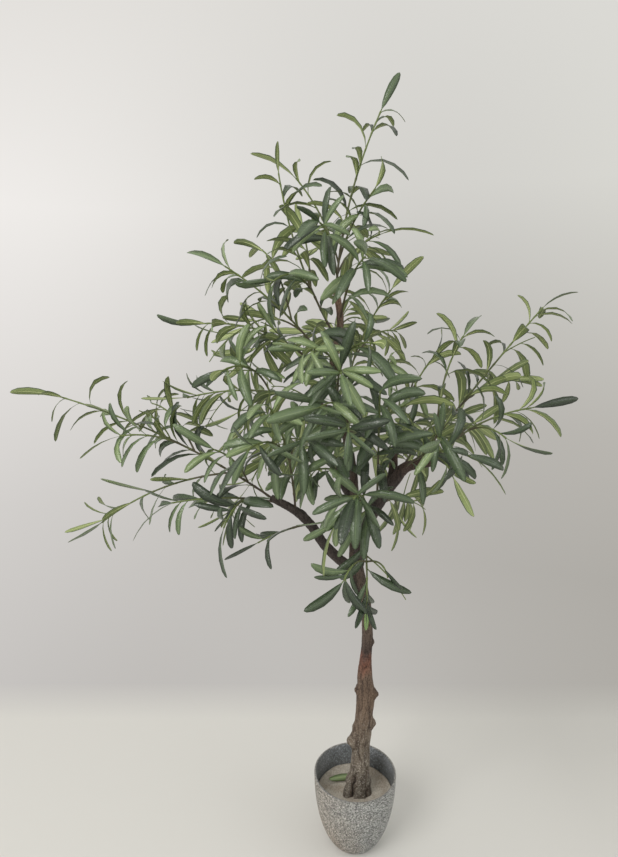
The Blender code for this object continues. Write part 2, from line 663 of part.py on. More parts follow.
limbs = {
    "trunk": Limb("trunk", TRUNK_ROWS, TRUNK_SIDES, TRUNK_KNOBS, TRUNK_RING_GAP, flared=True, seed=3),
    "left_bough": Limb("left_bough", LEFT_BOUGH_ROWS, BOUGH_SIDES, LEFT_BOUGH_KNOBS, seed=5),
    "right_bough": Limb("right_bough", RIGHT_BOUGH_ROWS, BOUGH_SIDES, RIGHT_BOUGH_KNOBS, seed=7),
    "right_fork": Limb("right_fork", RIGHT_FORK_ROWS, BOUGH_SIDES, seed=9),
    "middle_bough": Limb("middle_bough", MIDDLE_BOUGH_ROWS, BOUGH_SIDES, seed=11),
}
limbs["trunk"].build(bark)
limbs["left_bough"].build(bark, [limbs["trunk"]])
limbs["right_bough"].build(bark, [limbs["trunk"], limbs["left_bough"]])
limbs["right_fork"].build(bark, [limbs["right_bough"]])
limbs["middle_bough"].build(bark, [limbs["trunk"]])

crown = Crown(limbs)
for name, limb, place, _, rows in MASSES:
    crown.lay_twigs(name, limb, place, rows)
crown.prepare()
for name, _, _, seed, _ in MASSES:
    crown.deal_leaves(name, random.Random(seed))
for name, limb, _, _, _ in MASSES:
    crown.build_mass(name, limb, foliage)

print("leaves:", sum(len(group) for group in crown.leaves.values()))
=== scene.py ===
# %% [markdown]
# # An artificial olive tree in a small round pot
# The tree is one and a half metres tall. Its trunk and boughs are cast with a bark
# relief, its twigs are green plastic over wire, and its leaves are thin pressed
# blades. The packed solids are the frame: every piece below stands where its solid
# stands, so the first step loads them and keeps their box.

import math
import random

import bmesh
import bpy
import numpy as np
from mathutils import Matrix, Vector, noise
from mathutils.bvhtree import BVHTree
from mathutils.kdtree import KDTree


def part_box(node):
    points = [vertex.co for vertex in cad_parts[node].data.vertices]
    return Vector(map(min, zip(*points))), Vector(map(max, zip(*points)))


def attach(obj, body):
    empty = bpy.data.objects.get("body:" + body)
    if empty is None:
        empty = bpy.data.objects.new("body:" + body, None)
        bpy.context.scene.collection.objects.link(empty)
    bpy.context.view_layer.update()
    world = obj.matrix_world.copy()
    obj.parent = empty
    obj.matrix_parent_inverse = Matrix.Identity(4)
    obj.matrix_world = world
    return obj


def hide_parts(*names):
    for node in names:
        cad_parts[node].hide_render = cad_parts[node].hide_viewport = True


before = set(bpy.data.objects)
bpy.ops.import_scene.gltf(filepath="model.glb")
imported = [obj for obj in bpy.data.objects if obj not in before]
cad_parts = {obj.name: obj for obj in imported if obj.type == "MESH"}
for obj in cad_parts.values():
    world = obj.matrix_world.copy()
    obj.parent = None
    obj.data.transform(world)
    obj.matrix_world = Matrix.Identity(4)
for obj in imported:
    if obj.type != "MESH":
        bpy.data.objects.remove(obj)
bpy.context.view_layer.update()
print("nodes in the frame:", len(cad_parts))

# %% [markdown]
# ## The studio
# The tree stands on a plain pale floor under soft light, and is seen from the height
# of its crown, a little downwards. Colours are easiest to name from 0 to 255 a
# channel, as screens do, but Blender's sockets take linear values, so a helper turns
# one into the other.

# %% Colours
def paint(red, green, blue):
    """A colour of 0 to 255 a channel, as the linear values that the nodes take."""
    channels = [c / 255 for c in (red, green, blue)]
    linear = [c / 12.92 if c <= 0.04045 else ((c + 0.055) / 1.055) ** 2.4 for c in channels]
    return (*linear, 1.0)


print("a middle grey of 128 is", round(paint(128, 128, 128)[0], 3), "in linear light")

# %% [markdown]
# The camera stands level with the crown and close by, with a short lens. So the crown
# is seen from the front, and the pot from above.

# %% Camera
CAMERA_PLACE = (-0.0968, -1.1223, 1.1432)
CAMERA_DOWN = 12.2              # degrees below level
CAMERA_LENS = 26.04             # on a 36 mm sensor

camera = bpy.data.objects.new("camera", bpy.data.cameras.new("camera"))
bpy.context.scene.collection.objects.link(camera)
camera.location = CAMERA_PLACE
camera.rotation_euler = (math.radians(90 - CAMERA_DOWN), 0, 0)
camera.data.lens = CAMERA_LENS
camera.data.sensor_width = 36
camera.data.clip_start = 0.01
camera.data.clip_end = 5000
bpy.context.scene.camera = camera
bpy.context.scene.view_settings.view_transform = "Standard"
print("camera", [round(c, 3) for c in camera.location])

# %% [markdown]
# The backdrop and every finish are trees of nodes. Nodes can be added and wired one
# line at a time, but that soon hides what they do. One helper adds a node and wires
# its first inputs, and another one lays colours on a ramp.

# %% Node helpers
def add_node(tree, kind, *sources, **values):
    """Add a node, wire its first inputs and set the others by name."""
    node = tree.nodes.new("ShaderNode" + kind)
    for key, value in values.items():
        if hasattr(node, key):
            setattr(node, key, value)
        else:
            node.inputs[key.replace("_", " ")].default_value = value
    for socket, source in zip(node.inputs, sources):
        if hasattr(source, "links"):
            tree.links.new(source, socket)
        else:
            socket.default_value = source
    return node


def colour_ramp(tree, value, stops):
    """Colours that follow a value from stop to stop."""
    node = add_node(tree, "ValToRGB", value)
    ramp = node.color_ramp
    while len(ramp.elements) < len(stops):
        ramp.elements.new(0.5)
    for element, (position, colour) in zip(ramp.elements, stops):
        element.position = position
        element.color = colour
    return node.outputs["Color"]


# %% [markdown]
# The backdrop is paper, lighter on the left and darker to the right and down. The
# world's colour can follow the direction of the view, so two ramps on its height give
# the left side and the right, and two soft clouds break them up.

# %% Backdrop
# Height of the direction, and its colour: to the left of the view and to the right.
BACKDROP_LEFT = [
    (-0.55, paint(197, 194, 191)), (-0.30, paint(210, 207, 204)),
    (0.12, paint(240, 237, 234)), (0.40, paint(226, 223, 219)),
]
BACKDROP_RIGHT = [
    (-0.40, paint(174, 171, 165)), (-0.20, paint(189, 186, 180)),
    (0.16, paint(224, 223, 217)), (0.40, paint(222, 221, 216)),
]
BACKDROP_HEIGHT = 0.6           # the ramps run from this far down to this far up
BACKDROP_SIDE = 0.45            # how far to the side the left and right colours are reached
# Soft clouds of shade and of light on it: direction, reach, share, tint.
BACKDROP_CLOUDS = [
    ((0.16, 0.99, 0.02), 0.60, 0.19, paint(0, 0, 0)),
    ((0.02, 0.81, -0.58), 0.30, 0.06, paint(255, 255, 255)),
]


def backdrop(tree, direction):
    """The backdrop's colour in a direction."""
    split = add_node(tree, "SeparateXYZ", direction)
    height = add_node(tree, "MapRange", split.outputs["Z"],
                      From_Min=-BACKDROP_HEIGHT, From_Max=BACKDROP_HEIGHT)
    sides = []
    for rows in (BACKDROP_LEFT, BACKDROP_RIGHT):
        stops = [((z + BACKDROP_HEIGHT) / (2 * BACKDROP_HEIGHT), colour) for z, colour in rows]
        sides.append(colour_ramp(tree, height.outputs["Result"], stops))
    across = add_node(tree, "MapRange", split.outputs["X"], From_Min=-BACKDROP_SIDE, From_Max=BACKDROP_SIDE)
    blend = add_node(tree, "MixRGB", across.outputs["Result"], *sides)
    for centre, reach, share, tint in BACKDROP_CLOUDS:
        away = add_node(tree, "VectorMath", direction, centre, operation="DISTANCE")
        cloud = add_node(tree, "MapRange", away.outputs["Value"], From_Min=reach, From_Max=0.0, To_Max=share,
                         interpolation_type="SMOOTHSTEP")
        blend = add_node(tree, "MixRGB", cloud.outputs["Result"], blend.outputs["Color"], tint)
    return blend.outputs["Color"]


world = bpy.data.worlds.new("studio")
bpy.context.scene.world = world
world.use_nodes = True
sky = world.node_tree
direction = add_node(sky, "TexCoord").outputs["Generated"]
sky.links.new(backdrop(sky, direction), sky.nodes["Background"].inputs["Color"])
print("colours in the backdrop:", len(BACKDROP_LEFT) + len(BACKDROP_RIGHT))

# %% [markdown]
# One large lamp to the left of the camera gives the leaves their soft shine, and a
# weaker one fills the right side. Large lamps give soft shadows.

# %% Lamps
LAMPS = [                       # name, place, size, watts, colour
    ("left_lamp", (-1.9, -2.1, 2.9), 1.8, 60, (1.0, 0.985, 0.96)),
    ("right_lamp", (2.4, -1.2, 1.8), 1.6, 9, (0.95, 0.98, 1.0)),
]
LIT_PLACE = (0, 0, 0.7)         # where both lamps point

for name, place, size, watts, colour in LAMPS:
    lamp = bpy.data.lights.new(name, "AREA")
    lamp.size = size
    lamp.energy = watts
    lamp.color = colour
    stand = bpy.data.objects.new(name, lamp)
    bpy.context.scene.collection.objects.link(stand)
    stand.location = place
    stand.rotation_euler = (Vector(LIT_PLACE) - Vector(place)).to_track_quat("-Z", "Y").to_euler()
print("lamps:", [row[0] for row in LAMPS])

# %% [markdown]
# The floor has to reach the horizon without a visible edge, so it is one very large
# sheet. Near the tree it is lit, with painted shade to the right and back. Farther off it
# glows in the backdrop's own colour for the direction from the camera's place, so the
# two meet unseen, like paper that curves up a wall.

# %% Floor
FLOOR_SIZE = 2000
FLOOR_COLOUR = paint(214, 213, 209)
# Painted shade: the floor's colour is darker to the right of the tree and behind it.
FLOOR_PAINTED_SHADE = paint(200, 199, 195)      # to the right and back
FLOOR_PAINTED_SHADE_RIGHT = (0.10, 0.55)        # metres over which that shade sets in
FLOOR_PAINTED_SHADE_BACK = (-0.25, 0.25)
FLOOR_SEAM = (0.38, 0.54)       # metres behind the tree where floor and backdrop meet
FLOOR_FADE = (1.1, 3.0)         # metres from the tree over which they meet elsewhere


def floor_paint():
    """A lit floor near the tree, and the backdrop's colour farther off."""
    material = bpy.data.materials.new("floor")
    material.use_nodes = True
    tree = material.node_tree
    lit = tree.nodes["Principled BSDF"]
    lit.inputs["Roughness"].default_value = 0.8
    lit.inputs["Specular IOR Level"].default_value = 0.0
    place = add_node(tree, "TexCoord").outputs["Object"]
    split = add_node(tree, "SeparateXYZ", place)
    # Painted shade: its share grows to the right and to the back.
    rightwards = add_node(tree, "MapRange", split.outputs["X"], *FLOOR_PAINTED_SHADE_RIGHT)
    backwards = add_node(tree, "MapRange", split.outputs["Y"], *FLOOR_PAINTED_SHADE_BACK)
    painted_shade_share = add_node(tree, "Math", rightwards.outputs["Result"], backwards.outputs["Result"],
                      operation="MULTIPLY")
    tint = add_node(tree, "MixRGB", painted_shade_share.outputs["Value"], FLOOR_COLOUR, FLOOR_PAINTED_SHADE)
    tree.links.new(tint.outputs["Color"], lit.inputs["Base Color"])

    from_camera = add_node(tree, "VectorMath", place, CAMERA_PLACE, operation="SUBTRACT")
    direction = add_node(tree, "VectorMath", from_camera.outputs["Vector"], operation="NORMALIZE")
    far = add_node(tree, "Emission", backdrop(tree, direction.outputs["Vector"]))
    away = add_node(tree, "VectorMath", place, operation="LENGTH")
    fade = add_node(tree, "MapRange", away.outputs["Value"], *FLOOR_FADE, interpolation_type="SMOOTHSTEP")
    seam = add_node(tree, "MapRange", split.outputs["Y"], *FLOOR_SEAM)
    share = add_node(tree, "Math", fade.outputs["Result"], seam.outputs["Result"], operation="MAXIMUM")
    blend = add_node(tree, "MixShader", share.outputs["Value"], lit.outputs[0], far.outputs[0])
    tree.links.new(blend.outputs[0], tree.nodes["Material Output"].inputs["Surface"])
    return material


floor_shape = bmesh.new()
bmesh.ops.create_grid(floor_shape, x_segments=1, y_segments=1, size=FLOOR_SIZE / 2)
floor_mesh = bpy.data.meshes.new("floor")
floor_shape.to_mesh(floor_mesh)
floor_shape.free()
floor_mesh.materials.append(floor_paint())
floor = bpy.data.objects.new("floor", floor_mesh)
bpy.context.scene.collection.objects.link(floor)
print("floor in metres:", FLOOR_SIZE)

# %% [markdown]
# ## Finishes and pieces
# A finish is a Principled material with a few nodes in front of it. The class below
# keeps the wiring short: each method adds one node and gives back its output. All
# patterns are read from object coordinates, because every piece keeps its object at
# the origin, so a pattern has its real size in metres.

# %% Finishes
class Finish:
    """A Principled material, wired one node at a time."""

    def __init__(self, name, colour, roughness):
        self.material = bpy.data.materials.new(name)
        self.material.use_nodes = True
        self.tree = self.material.node_tree
        self.shader = self.tree.nodes["Principled BSDF"]
        self.shader.inputs["Base Color"].default_value = colour
        self.shader.inputs["Roughness"].default_value = roughness
        self.material.diffuse_color = colour
        self.place = self.tree.nodes.new("ShaderNodeTexCoord").outputs["Object"]

    def node(self, kind, *sources, **values):
        return add_node(self.tree, kind, *sources, **values)

    def noise(self, scale, detail=3.0, distortion=0.0, stretch=(1, 1, 1)):
        place = self.node("Mapping", self.place, Scale=stretch).outputs["Vector"]
        node = self.node("TexNoise", place, Scale=scale, Detail=detail, Distortion=distortion)
        return node.outputs["Fac"]

    def attribute(self, name):
        return self.node("Attribute", attribute_name=name).outputs["Fac"]

    def axis(self, letter):
        """The place along X, Y or Z, in metres."""
        return self.node("SeparateXYZ", self.place).outputs[letter]

    def steps(self, value, stops):
        return colour_ramp(self.tree, value, stops)

    def between(self, value, low, high, low_value=0.0, high_value=1.0):
        return self.node("MapRange", value, low, high, low_value, high_value).outputs["Result"]

    def mix(self, share, first, second, how="MIX"):
        return self.node("MixRGB", share, first, second, blend_type=how).outputs["Color"]

    def sum(self, first, second, how="ADD"):
        return self.node("Math", first, second, operation=how).outputs["Value"]

    def coat(self, colour=None, roughness=None, relief=None, depth=0.0):
        """Wire the last sockets into the shader. The relief's depth is in metres."""
        if colour is not None:
            self.tree.links.new(colour, self.shader.inputs["Base Color"])
        if roughness is not None:
            self.tree.links.new(roughness, self.shader.inputs["Roughness"])
        if relief is not None:
            node = self.node("Bump", Distance=depth, Height=0.0)
            self.tree.links.new(relief, node.inputs["Height"])
            self.tree.links.new(node.outputs["Normal"], self.shader.inputs["Normal"])
        return self.material


print("methods of a finish:", [key for key in vars(Finish) if not key.startswith("_")])

# %% [markdown]
# A shape that is made with bmesh becomes a smooth mesh with its finishes, and a finished
# mesh becomes a piece in one call, which also says whose solid it stands for.

# %% Pieces
def show_piece(name, mesh, slot, *nodes):
    """Link a finished mesh, and hide the solids that it stands for."""
    piece = bpy.data.objects.new(name, mesh)
    bpy.context.scene.collection.objects.link(piece)
    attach(piece, "root")
    if nodes:
        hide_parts(*nodes)
    print(name, "has", sum(len(p.vertices) - 2 for p in mesh.polygons), "triangles")
    return piece


def mesh_of(shape, name, *materials):
    """A mesh of smooth faces that point outwards, from a bmesh that isn't used again."""
    bmesh.ops.recalc_face_normals(shape, faces=shape.faces)
    for face in shape.faces:
        face.smooth = True
    mesh = bpy.data.meshes.new(name)
    shape.to_mesh(mesh)
    shape.free()
    for material in materials:
        mesh.materials.append(material)
    return mesh


# %% [markdown]
# ## The pot
# The real pot is a thin turned shell, grey with a fine light and dark fleck like
# granite, smooth and bluish inside. It could be a cylinder pushed into shape, but a
# profile spun round the axis gives its true curve and a rounded lip at once. The
# wall follows one formula, a quarter of a squared-off ellipse, so that the side is
# upright at the rim and turns in quickly at the foot.

# %% Pot sizes and profile
POT_HEIGHT = 0.1645
POT_RIM_RADIUS = 0.0855
POT_WALL = 0.0035
POT_FLOOR = 0.0050
POT_CURVE_DEPTH = 0.188
POT_CURVE_POWER = 2.18
POT_FOOT_EDGE = 0.0020
POT_STEPS = 128
WALL_POINTS = 36
ARC_POINTS = 6


def pot_radius(height):
    """Outer radius of the pot at a height: a rounded curve, steep at the rim."""
    down = (POT_HEIGHT - height) / POT_CURVE_DEPTH
    return POT_RIM_RADIUS * (1 - down ** POT_CURVE_POWER) ** (1 / POT_CURVE_POWER)


def arc(radius, height, size, start, end):
    """Points of (radius, height) along an arc, from one angle to another in degrees."""
    angles = [math.radians(start + (end - start) * k / ARC_POINTS) for k in range(ARC_POINTS + 1)]
    return [(radius + size * math.cos(a), height + size * math.sin(a)) for a in angles]


def spun(profile, steps):
    """Turn a profile of (radius, height), which starts and ends on the axis."""
    shape = bmesh.new()
    corners = [shape.verts.new((radius, 0, height)) for radius, height in profile]
    edges = [shape.edges.new(pair) for pair in zip(corners, corners[1:])]
    bmesh.ops.spin(shape, geom=corners + edges, axis=(0, 0, 1), cent=(0, 0, 0),
                   steps=steps, angle=2 * math.pi, use_merge=True)
    bmesh.ops.remove_doubles(shape, verts=shape.verts, dist=1e-5)
    return shape


def pot_profile():
    half = POT_WALL / 2
    top = POT_HEIGHT - half
    heights = [POT_FOOT_EDGE + (top - POT_FOOT_EDGE) * k / WALL_POINTS for k in range(WALL_POINTS + 1)]
    points = [(0, 0)]
    points += arc(pot_radius(0) - POT_FOOT_EDGE, POT_FOOT_EDGE, POT_FOOT_EDGE, -90, -20)
    points += [(pot_radius(height), height) for height in heights[1:-1]]
    points += arc(POT_RIM_RADIUS - half, top, half, 0, 180)
    points += [(pot_radius(height) - POT_WALL, height) for height in reversed(heights[3:-1])]
    points += [(pot_radius(POT_FLOOR) - POT_WALL - 2 * POT_FOOT_EDGE, POT_FLOOR), (0, POT_FLOOR)]
    return points


print("pot profile has", len(pot_profile()), "points")

# %% [markdown]
# The fleck is about a millimetre and a half across and runs in short worms. A noise
# that is bent by its own distortion draws such worms, and a few hard steps of colour
# sort them into dark, grey and white. Over it the grey turns from bluish on the right
# to a warm beige on the left, as painted warm light on the side of the big lamp, and a
# slow noise makes that border wander. Low on the left the same noise lays a patch of rust.

# %% Pot finishes
def flecked_pot():
    finish = Finish("pot_fleck", paint(134, 132, 127), 0.7)
    worms = finish.noise(590, 2.0, 1.8)
    fleck = finish.steps(worms, [
        (0.44, paint(22, 22, 22)), (0.49, paint(70, 70, 69)),
        (0.53, paint(132, 131, 129)), (0.56, paint(238, 237, 233))])
    drift = finish.noise(14, 3.0)
    wander = finish.between(drift, 0.3, 0.7, -0.03, 0.03)
    # Painted warm light: towards the left, the side of the big lamp, the grey is tinted warmer; the slow
    # noise bends the border.
    painted_light_side = finish.between(finish.sum(finish.axis("X"), wander), 0.03, -0.06)
    tint = finish.mix(painted_light_side, paint(248, 251, 252), paint(251, 244, 235))
    # A patch of rust, low down on that left side, where the slow noise is high.
    low_down = finish.between(finish.axis("Z"), 0.10, 0.03)
    stained = finish.between(drift, 0.40, 0.62)
    rust = finish.sum(finish.sum(painted_light_side, low_down, "MULTIPLY"), stained, "MULTIPLY")
    tint = finish.mix(rust, tint, paint(255, 224, 196))
    colour = finish.mix(0.9, fleck, tint, "MULTIPLY")
    return finish.coat(colour, finish.between(worms, 0.3, 0.7, 0.8, 0.6), worms, 0.0006)


def pot_inside():
    finish = Finish("pot_inside", paint(98, 100, 101), 0.40)
    grain = finish.noise(420, 3.0, 0.6)
    drift = finish.noise(24, 3.0)
    sparkle = finish.steps(grain, [
        (0.34, paint(112, 115, 117)), (0.54, paint(138, 142, 146)), (0.66, paint(206, 214, 220))])
    shade = finish.steps(drift, [(0.36, paint(200, 202, 200)), (0.60, paint(255, 255, 255))])
    # Painted shade: towards the cement the inside wall is darker and a little warmer, and at the top it keeps
    # its full colour.
    upwards = finish.between(finish.axis("Z"), 0.118, 0.158)
    deep_painted_shade = finish.mix(0.6, sparkle, paint(120, 118, 112), "MULTIPLY")
    colour = finish.mix(0.8, finish.mix(upwards, deep_painted_shade, sparkle), shade, "MULTIPLY")
    return finish.coat(colour, finish.between(grain, 0.3, 0.7, 0.34, 0.56), grain, 0.0002)


def pot_lip():
    finish = Finish("pot_lip", paint(168, 166, 160), 0.6)
    worn = finish.noise(420, 2.0)
    colour = finish.steps(worn, [
        (0.40, paint(84, 84, 83)), (0.5, paint(118, 117, 114)), (0.60, paint(166, 165, 160))])
    return finish.coat(colour, None, worn, 0.0003)


pot_finishes = [flecked_pot(), pot_inside(), pot_lip()]
print("pot finishes:", [finish.name for finish in pot_finishes])

# %% [markdown]
# The spun shell is one mesh. Its faces are sorted into the three finishes by where
# they lie: the lip by its height, and the inside by its distance from the axis.

# %% Turn the pot
OUTSIDE, INSIDE, LIP = range(3)     # the finishes' places in their list


def build_pot():
    shape = spun(pot_profile(), POT_STEPS)
    for face in shape.faces:
        centre = face.calc_center_median()
        radius = math.hypot(centre.x, centre.y)
        face.material_index = OUTSIDE
        if centre.z > POT_HEIGHT - POT_WALL * 0.5:
            face.material_index = LIP
        elif centre.z > POT_FLOOR * 0.9 and radius < pot_radius(centre.z) - POT_WALL / 2:
            face.material_index = INSIDE
    mesh = mesh_of(shape, "pot_shell", *pot_finishes)
    return show_piece("pot_shell", mesh, "pot", "pot")


build_pot()

# %% [markdown]
# ## The filler
# The trunk is set in cement that fills the pot to two thirds. Its top isn't flat: it
# was poured by hand, so it rises a little to the trunk and the wall and is covered
# in small lumps. A finely divided disc, moved up and down by two sizes of noise, is
# enough for that, and it is spun like the pot so that it fits the inner wall.

# %% Filler
FILLER_TOP = 0.1135
FILLER_CLEAR = 0.0004
FILLER_STEPS = 120
FILLER_SIDE_RINGS = 12
FILLER_TOP_RINGS = 46
WAVES = 38                      # waves to the metre, and lumps below
WAVE_HEIGHT = 0.0018
LUMPS = 330
LUMP_HEIGHT = 0.0006
MOUND_PLACE = (0.005, 0, 0)     # where it rises to the trunk
MOUND_HEIGHT = 0.004
MOUND_REACH = 0.034
WALL_RISE = 0.0016              # how far it rises along the wall
WALL_RISE_RADIUS = 0.0775       # where that rise is highest
WALL_RISE_REACH = 0.005


def filler_profile():
    side = POT_WALL + FILLER_CLEAR
    bottom = POT_FLOOR + FILLER_CLEAR
    low = POT_FLOOR + 2 * POT_FOOT_EDGE
    points = [(0, bottom), (pot_radius(POT_FLOOR) - side - 2 * POT_FOOT_EDGE, bottom)]
    heights = [low + (FILLER_TOP - low) * k / FILLER_SIDE_RINGS for k in range(FILLER_SIDE_RINGS + 1)]
    points += [(pot_radius(height) - side, height) for height in heights]
    edge = points[-1][0]
    points += [(edge * (1 - k / FILLER_TOP_RINGS), FILLER_TOP) for k in range(1, FILLER_TOP_RINGS + 1)]
    return points


def filler_height(flat):
    """Height of the cement's top over a point of the ground."""
    wave = noise.noise(flat * WAVES) * WAVE_HEIGHT
    lumps = max(0.0, noise.fractal(flat * LUMPS, 0.9, 2.0, 3)) * LUMP_HEIGHT
    mound = MOUND_HEIGHT * math.exp(-((flat - Vector(MOUND_PLACE)).length / MOUND_REACH) ** 2)
    wall = WALL_RISE * math.exp(-((WALL_RISE_RADIUS - flat.length) / WALL_RISE_REACH) ** 2)
    return FILLER_TOP + wave + lumps + mound + wall


def build_filler():
    shape = spun(filler_profile(), FILLER_STEPS)
    for corner in shape.verts:
        if corner.co.z < FILLER_TOP - 1e-5:
            continue
        corner.co.z = filler_height(Vector((corner.co.x, corner.co.y, 0)))
    return show_piece("filler_top", mesh_of(shape, "filler_top", cement()), "filler", "filler")


def cement():
    finish = Finish("cement", paint(168, 160, 147), 0.9)
    sand = finish.noise(520, 4.0, 0.3)
    drift = finish.noise(26, 3.0, 0.4)
    dust = finish.steps(sand, [
        (0.34, paint(146, 139, 129)), (0.48, paint(178, 172, 162)), (0.64, paint(200, 194, 185))])
    damp = finish.steps(drift, [(0.36, paint(218, 208, 196)), (0.54, paint(255, 253, 248))])
    return finish.coat(finish.mix(0.75, dust, damp, "MULTIPLY"), None, sand, 0.0005)


build_filler()

# %% [markdown]
# ## The limbs' rule
# The trunk and the four short boughs follow rows of x, y, z and radius. A smooth
# curve runs through each limb's rows, and the skin lies round that curve: a plain
# radius, two slow waves, lobes at the foot of the trunk, and knobs where branches
# were cut off. The same rule makes two skins, a coarse one that the leaves keep
# clear of, and a fine one that is seen.

# %% Limb tables
GAP = 0.0003
TRUNK_ROWS = [
    (0.005, 0.000, FILLER_TOP + GAP, 0.0275), (0.007, 0.000, 0.140, 0.0235),
    (0.010, 0.001, 0.175, 0.0200), (0.0125, 0.003, 0.235, 0.0178),
    (0.018, 0.003, 0.300, 0.0180), (0.019, 0.002, 0.350, 0.0183),
    (0.0172, 0.001, 0.388, 0.0152), (0.018, 0.000, 0.430, 0.0117),
    (0.0195, 0.000, 0.485, 0.0108), (0.014, 0.000, 0.545, 0.0113),
    (-0.004, 0.002, 0.622, 0.0135), (-0.008, 0.015, 0.690, 0.0098),
    (-0.010, 0.020, 0.780, 0.0086), (-0.020, 0.018, 0.855, 0.0079),
    (-0.044, 0.015, 0.938, 0.0071), (-0.054, 0.015, 1.005, 0.0066),
    (-0.040, 0.019, 1.090, 0.0063), (-0.048, 0.020, 1.148, 0.0060),
]
LEFT_BOUGH_ROWS = [
    (-0.004, 0.002, 0.615, 0.0110), (-0.038, -0.010, 0.645, 0.0100),
    (-0.069, -0.020, 0.682, 0.0094), (-0.093, -0.028, 0.722, 0.0090),
    (-0.123, -0.032, 0.752, 0.0082), (-0.166, -0.035, 0.778, 0.0064),
]
RIGHT_BOUGH_ROWS = [
    (-0.004, 0.002, 0.622, 0.0120), (0.008, -0.006, 0.690, 0.0115),
    (0.021, -0.016, 0.738, 0.0112), (0.043, -0.028, 0.783, 0.0108),
    (0.060, -0.038, 0.813, 0.0105), (0.079, -0.047, 0.840, 0.0096),
    (0.122, -0.050, 0.848, 0.0068),
]
RIGHT_FORK_ROWS = [
    (0.046, -0.029, 0.788, 0.0088), (0.058, -0.020, 0.822, 0.0084),
    (0.060, -0.012, 0.857, 0.0076),
]
MIDDLE_BOUGH_ROWS = [
    (-0.009, 0.020, 0.750, 0.0080), (-0.030, 0.037, 0.783, 0.0078),
    (-0.041, 0.050, 0.828, 0.0066),
]
# Each knob: share of the limb's length, degrees round it (0 to the side, 90 to the
# back), height and spread in metres.
TRUNK_KNOBS = [
    (0.118, 195, 0.0085, 0.0100), (0.142, 150, 0.0050, 0.0100), (0.158, 5, 0.0050, 0.0090),
    (0.224, 350, 0.0085, 0.0075), (0.232, 185, 0.0055, 0.0080), (0.300, 260, 0.0040, 0.0080),
    (0.336, 0, 0.0040, 0.0060), (0.470, 200, 0.0040, 0.0080),
]
LEFT_BOUGH_KNOBS = [(0.52, 100, 0.0050, 0.0080), (0.72, 80, 0.0045, 0.0070)]
RIGHT_BOUGH_KNOBS = [(0.42, 200, 0.0040, 0.0080), (0.80, 90, 0.0045, 0.0080)]
LIMB_ROWS = {                   # rows, knobs, seed
    "trunk": (TRUNK_ROWS, TRUNK_KNOBS, 3),
    "left_bough": (LEFT_BOUGH_ROWS, LEFT_BOUGH_KNOBS, 5),
    "right_bough": (RIGHT_BOUGH_ROWS, RIGHT_BOUGH_KNOBS, 7),
    "right_fork": (RIGHT_FORK_ROWS, (), 9),
    "middle_bough": (MIDDLE_BOUGH_ROWS, (), 11),
}
print("rows in the limbs' tables:", {name: len(rows) for name, (rows, _, _) in LIMB_ROWS.items()})

# %% [markdown]
# The rows are joined by a curve that passes through each of them and takes its
# direction from the rows before and after, so that a limb bends without a corner.

# %% Smooth limb lines
TRUNK_GAPS = (0.014, 0.030)     # between coarse rings, on the clear trunk and in the crown
BOUGH_GAPS = (0.018, 0.018)
CLEAR_TRUNK_TOP = 0.56


def smooth_rows(rows, gaps, change):
    """Points and radii along a limb: a smooth curve through its rows."""
    knots = [Vector(row) for row in rows]
    points = []
    for k in range(len(knots) - 1):
        before = knots[max(k - 1, 0)]
        start, end = knots[k], knots[k + 1]
        after = knots[min(k + 2, len(knots) - 1)]
        wanted = gaps[0] if start.z < change else gaps[1]
        count = max(1, round((end.xyz - start.xyz).length / wanted))
        for step in range(count):
            t = step / count
            points.append(0.5 * (2 * start + (end - before) * t
                                 + (2 * before - 5 * start + 4 * end - after) * t ** 2
                                 + (3 * start - before - 3 * end + after) * t ** 3))
    points.append(knots[-1])
    return [point.xyz for point in points], [point.w for point in points]


print("steps along the trunk:", len(smooth_rows(TRUNK_ROWS, TRUNK_GAPS, CLEAR_TRUNK_TOP)[0]) - 1)

# %% [markdown]
# A limb keeps its axis as many short steps, and its skin is found from a step and an
# angle round it. Knobs and lobes could be modelled one by one, but as bumps added to
# the radius they need no joining, and any skin that is laid round the axis has them.

# %% Limbs
COARSE_SIDES = 9
BARK_WAVES = [(3, 55, 1, 0.027), (2, -90, 2, 0.0189)]
KNOB_ROUNDNESS = 0.75
FLARE_LOBES = 3
FLARE_DEPTH = 0.16
FLARE_HEIGHT = 0.030


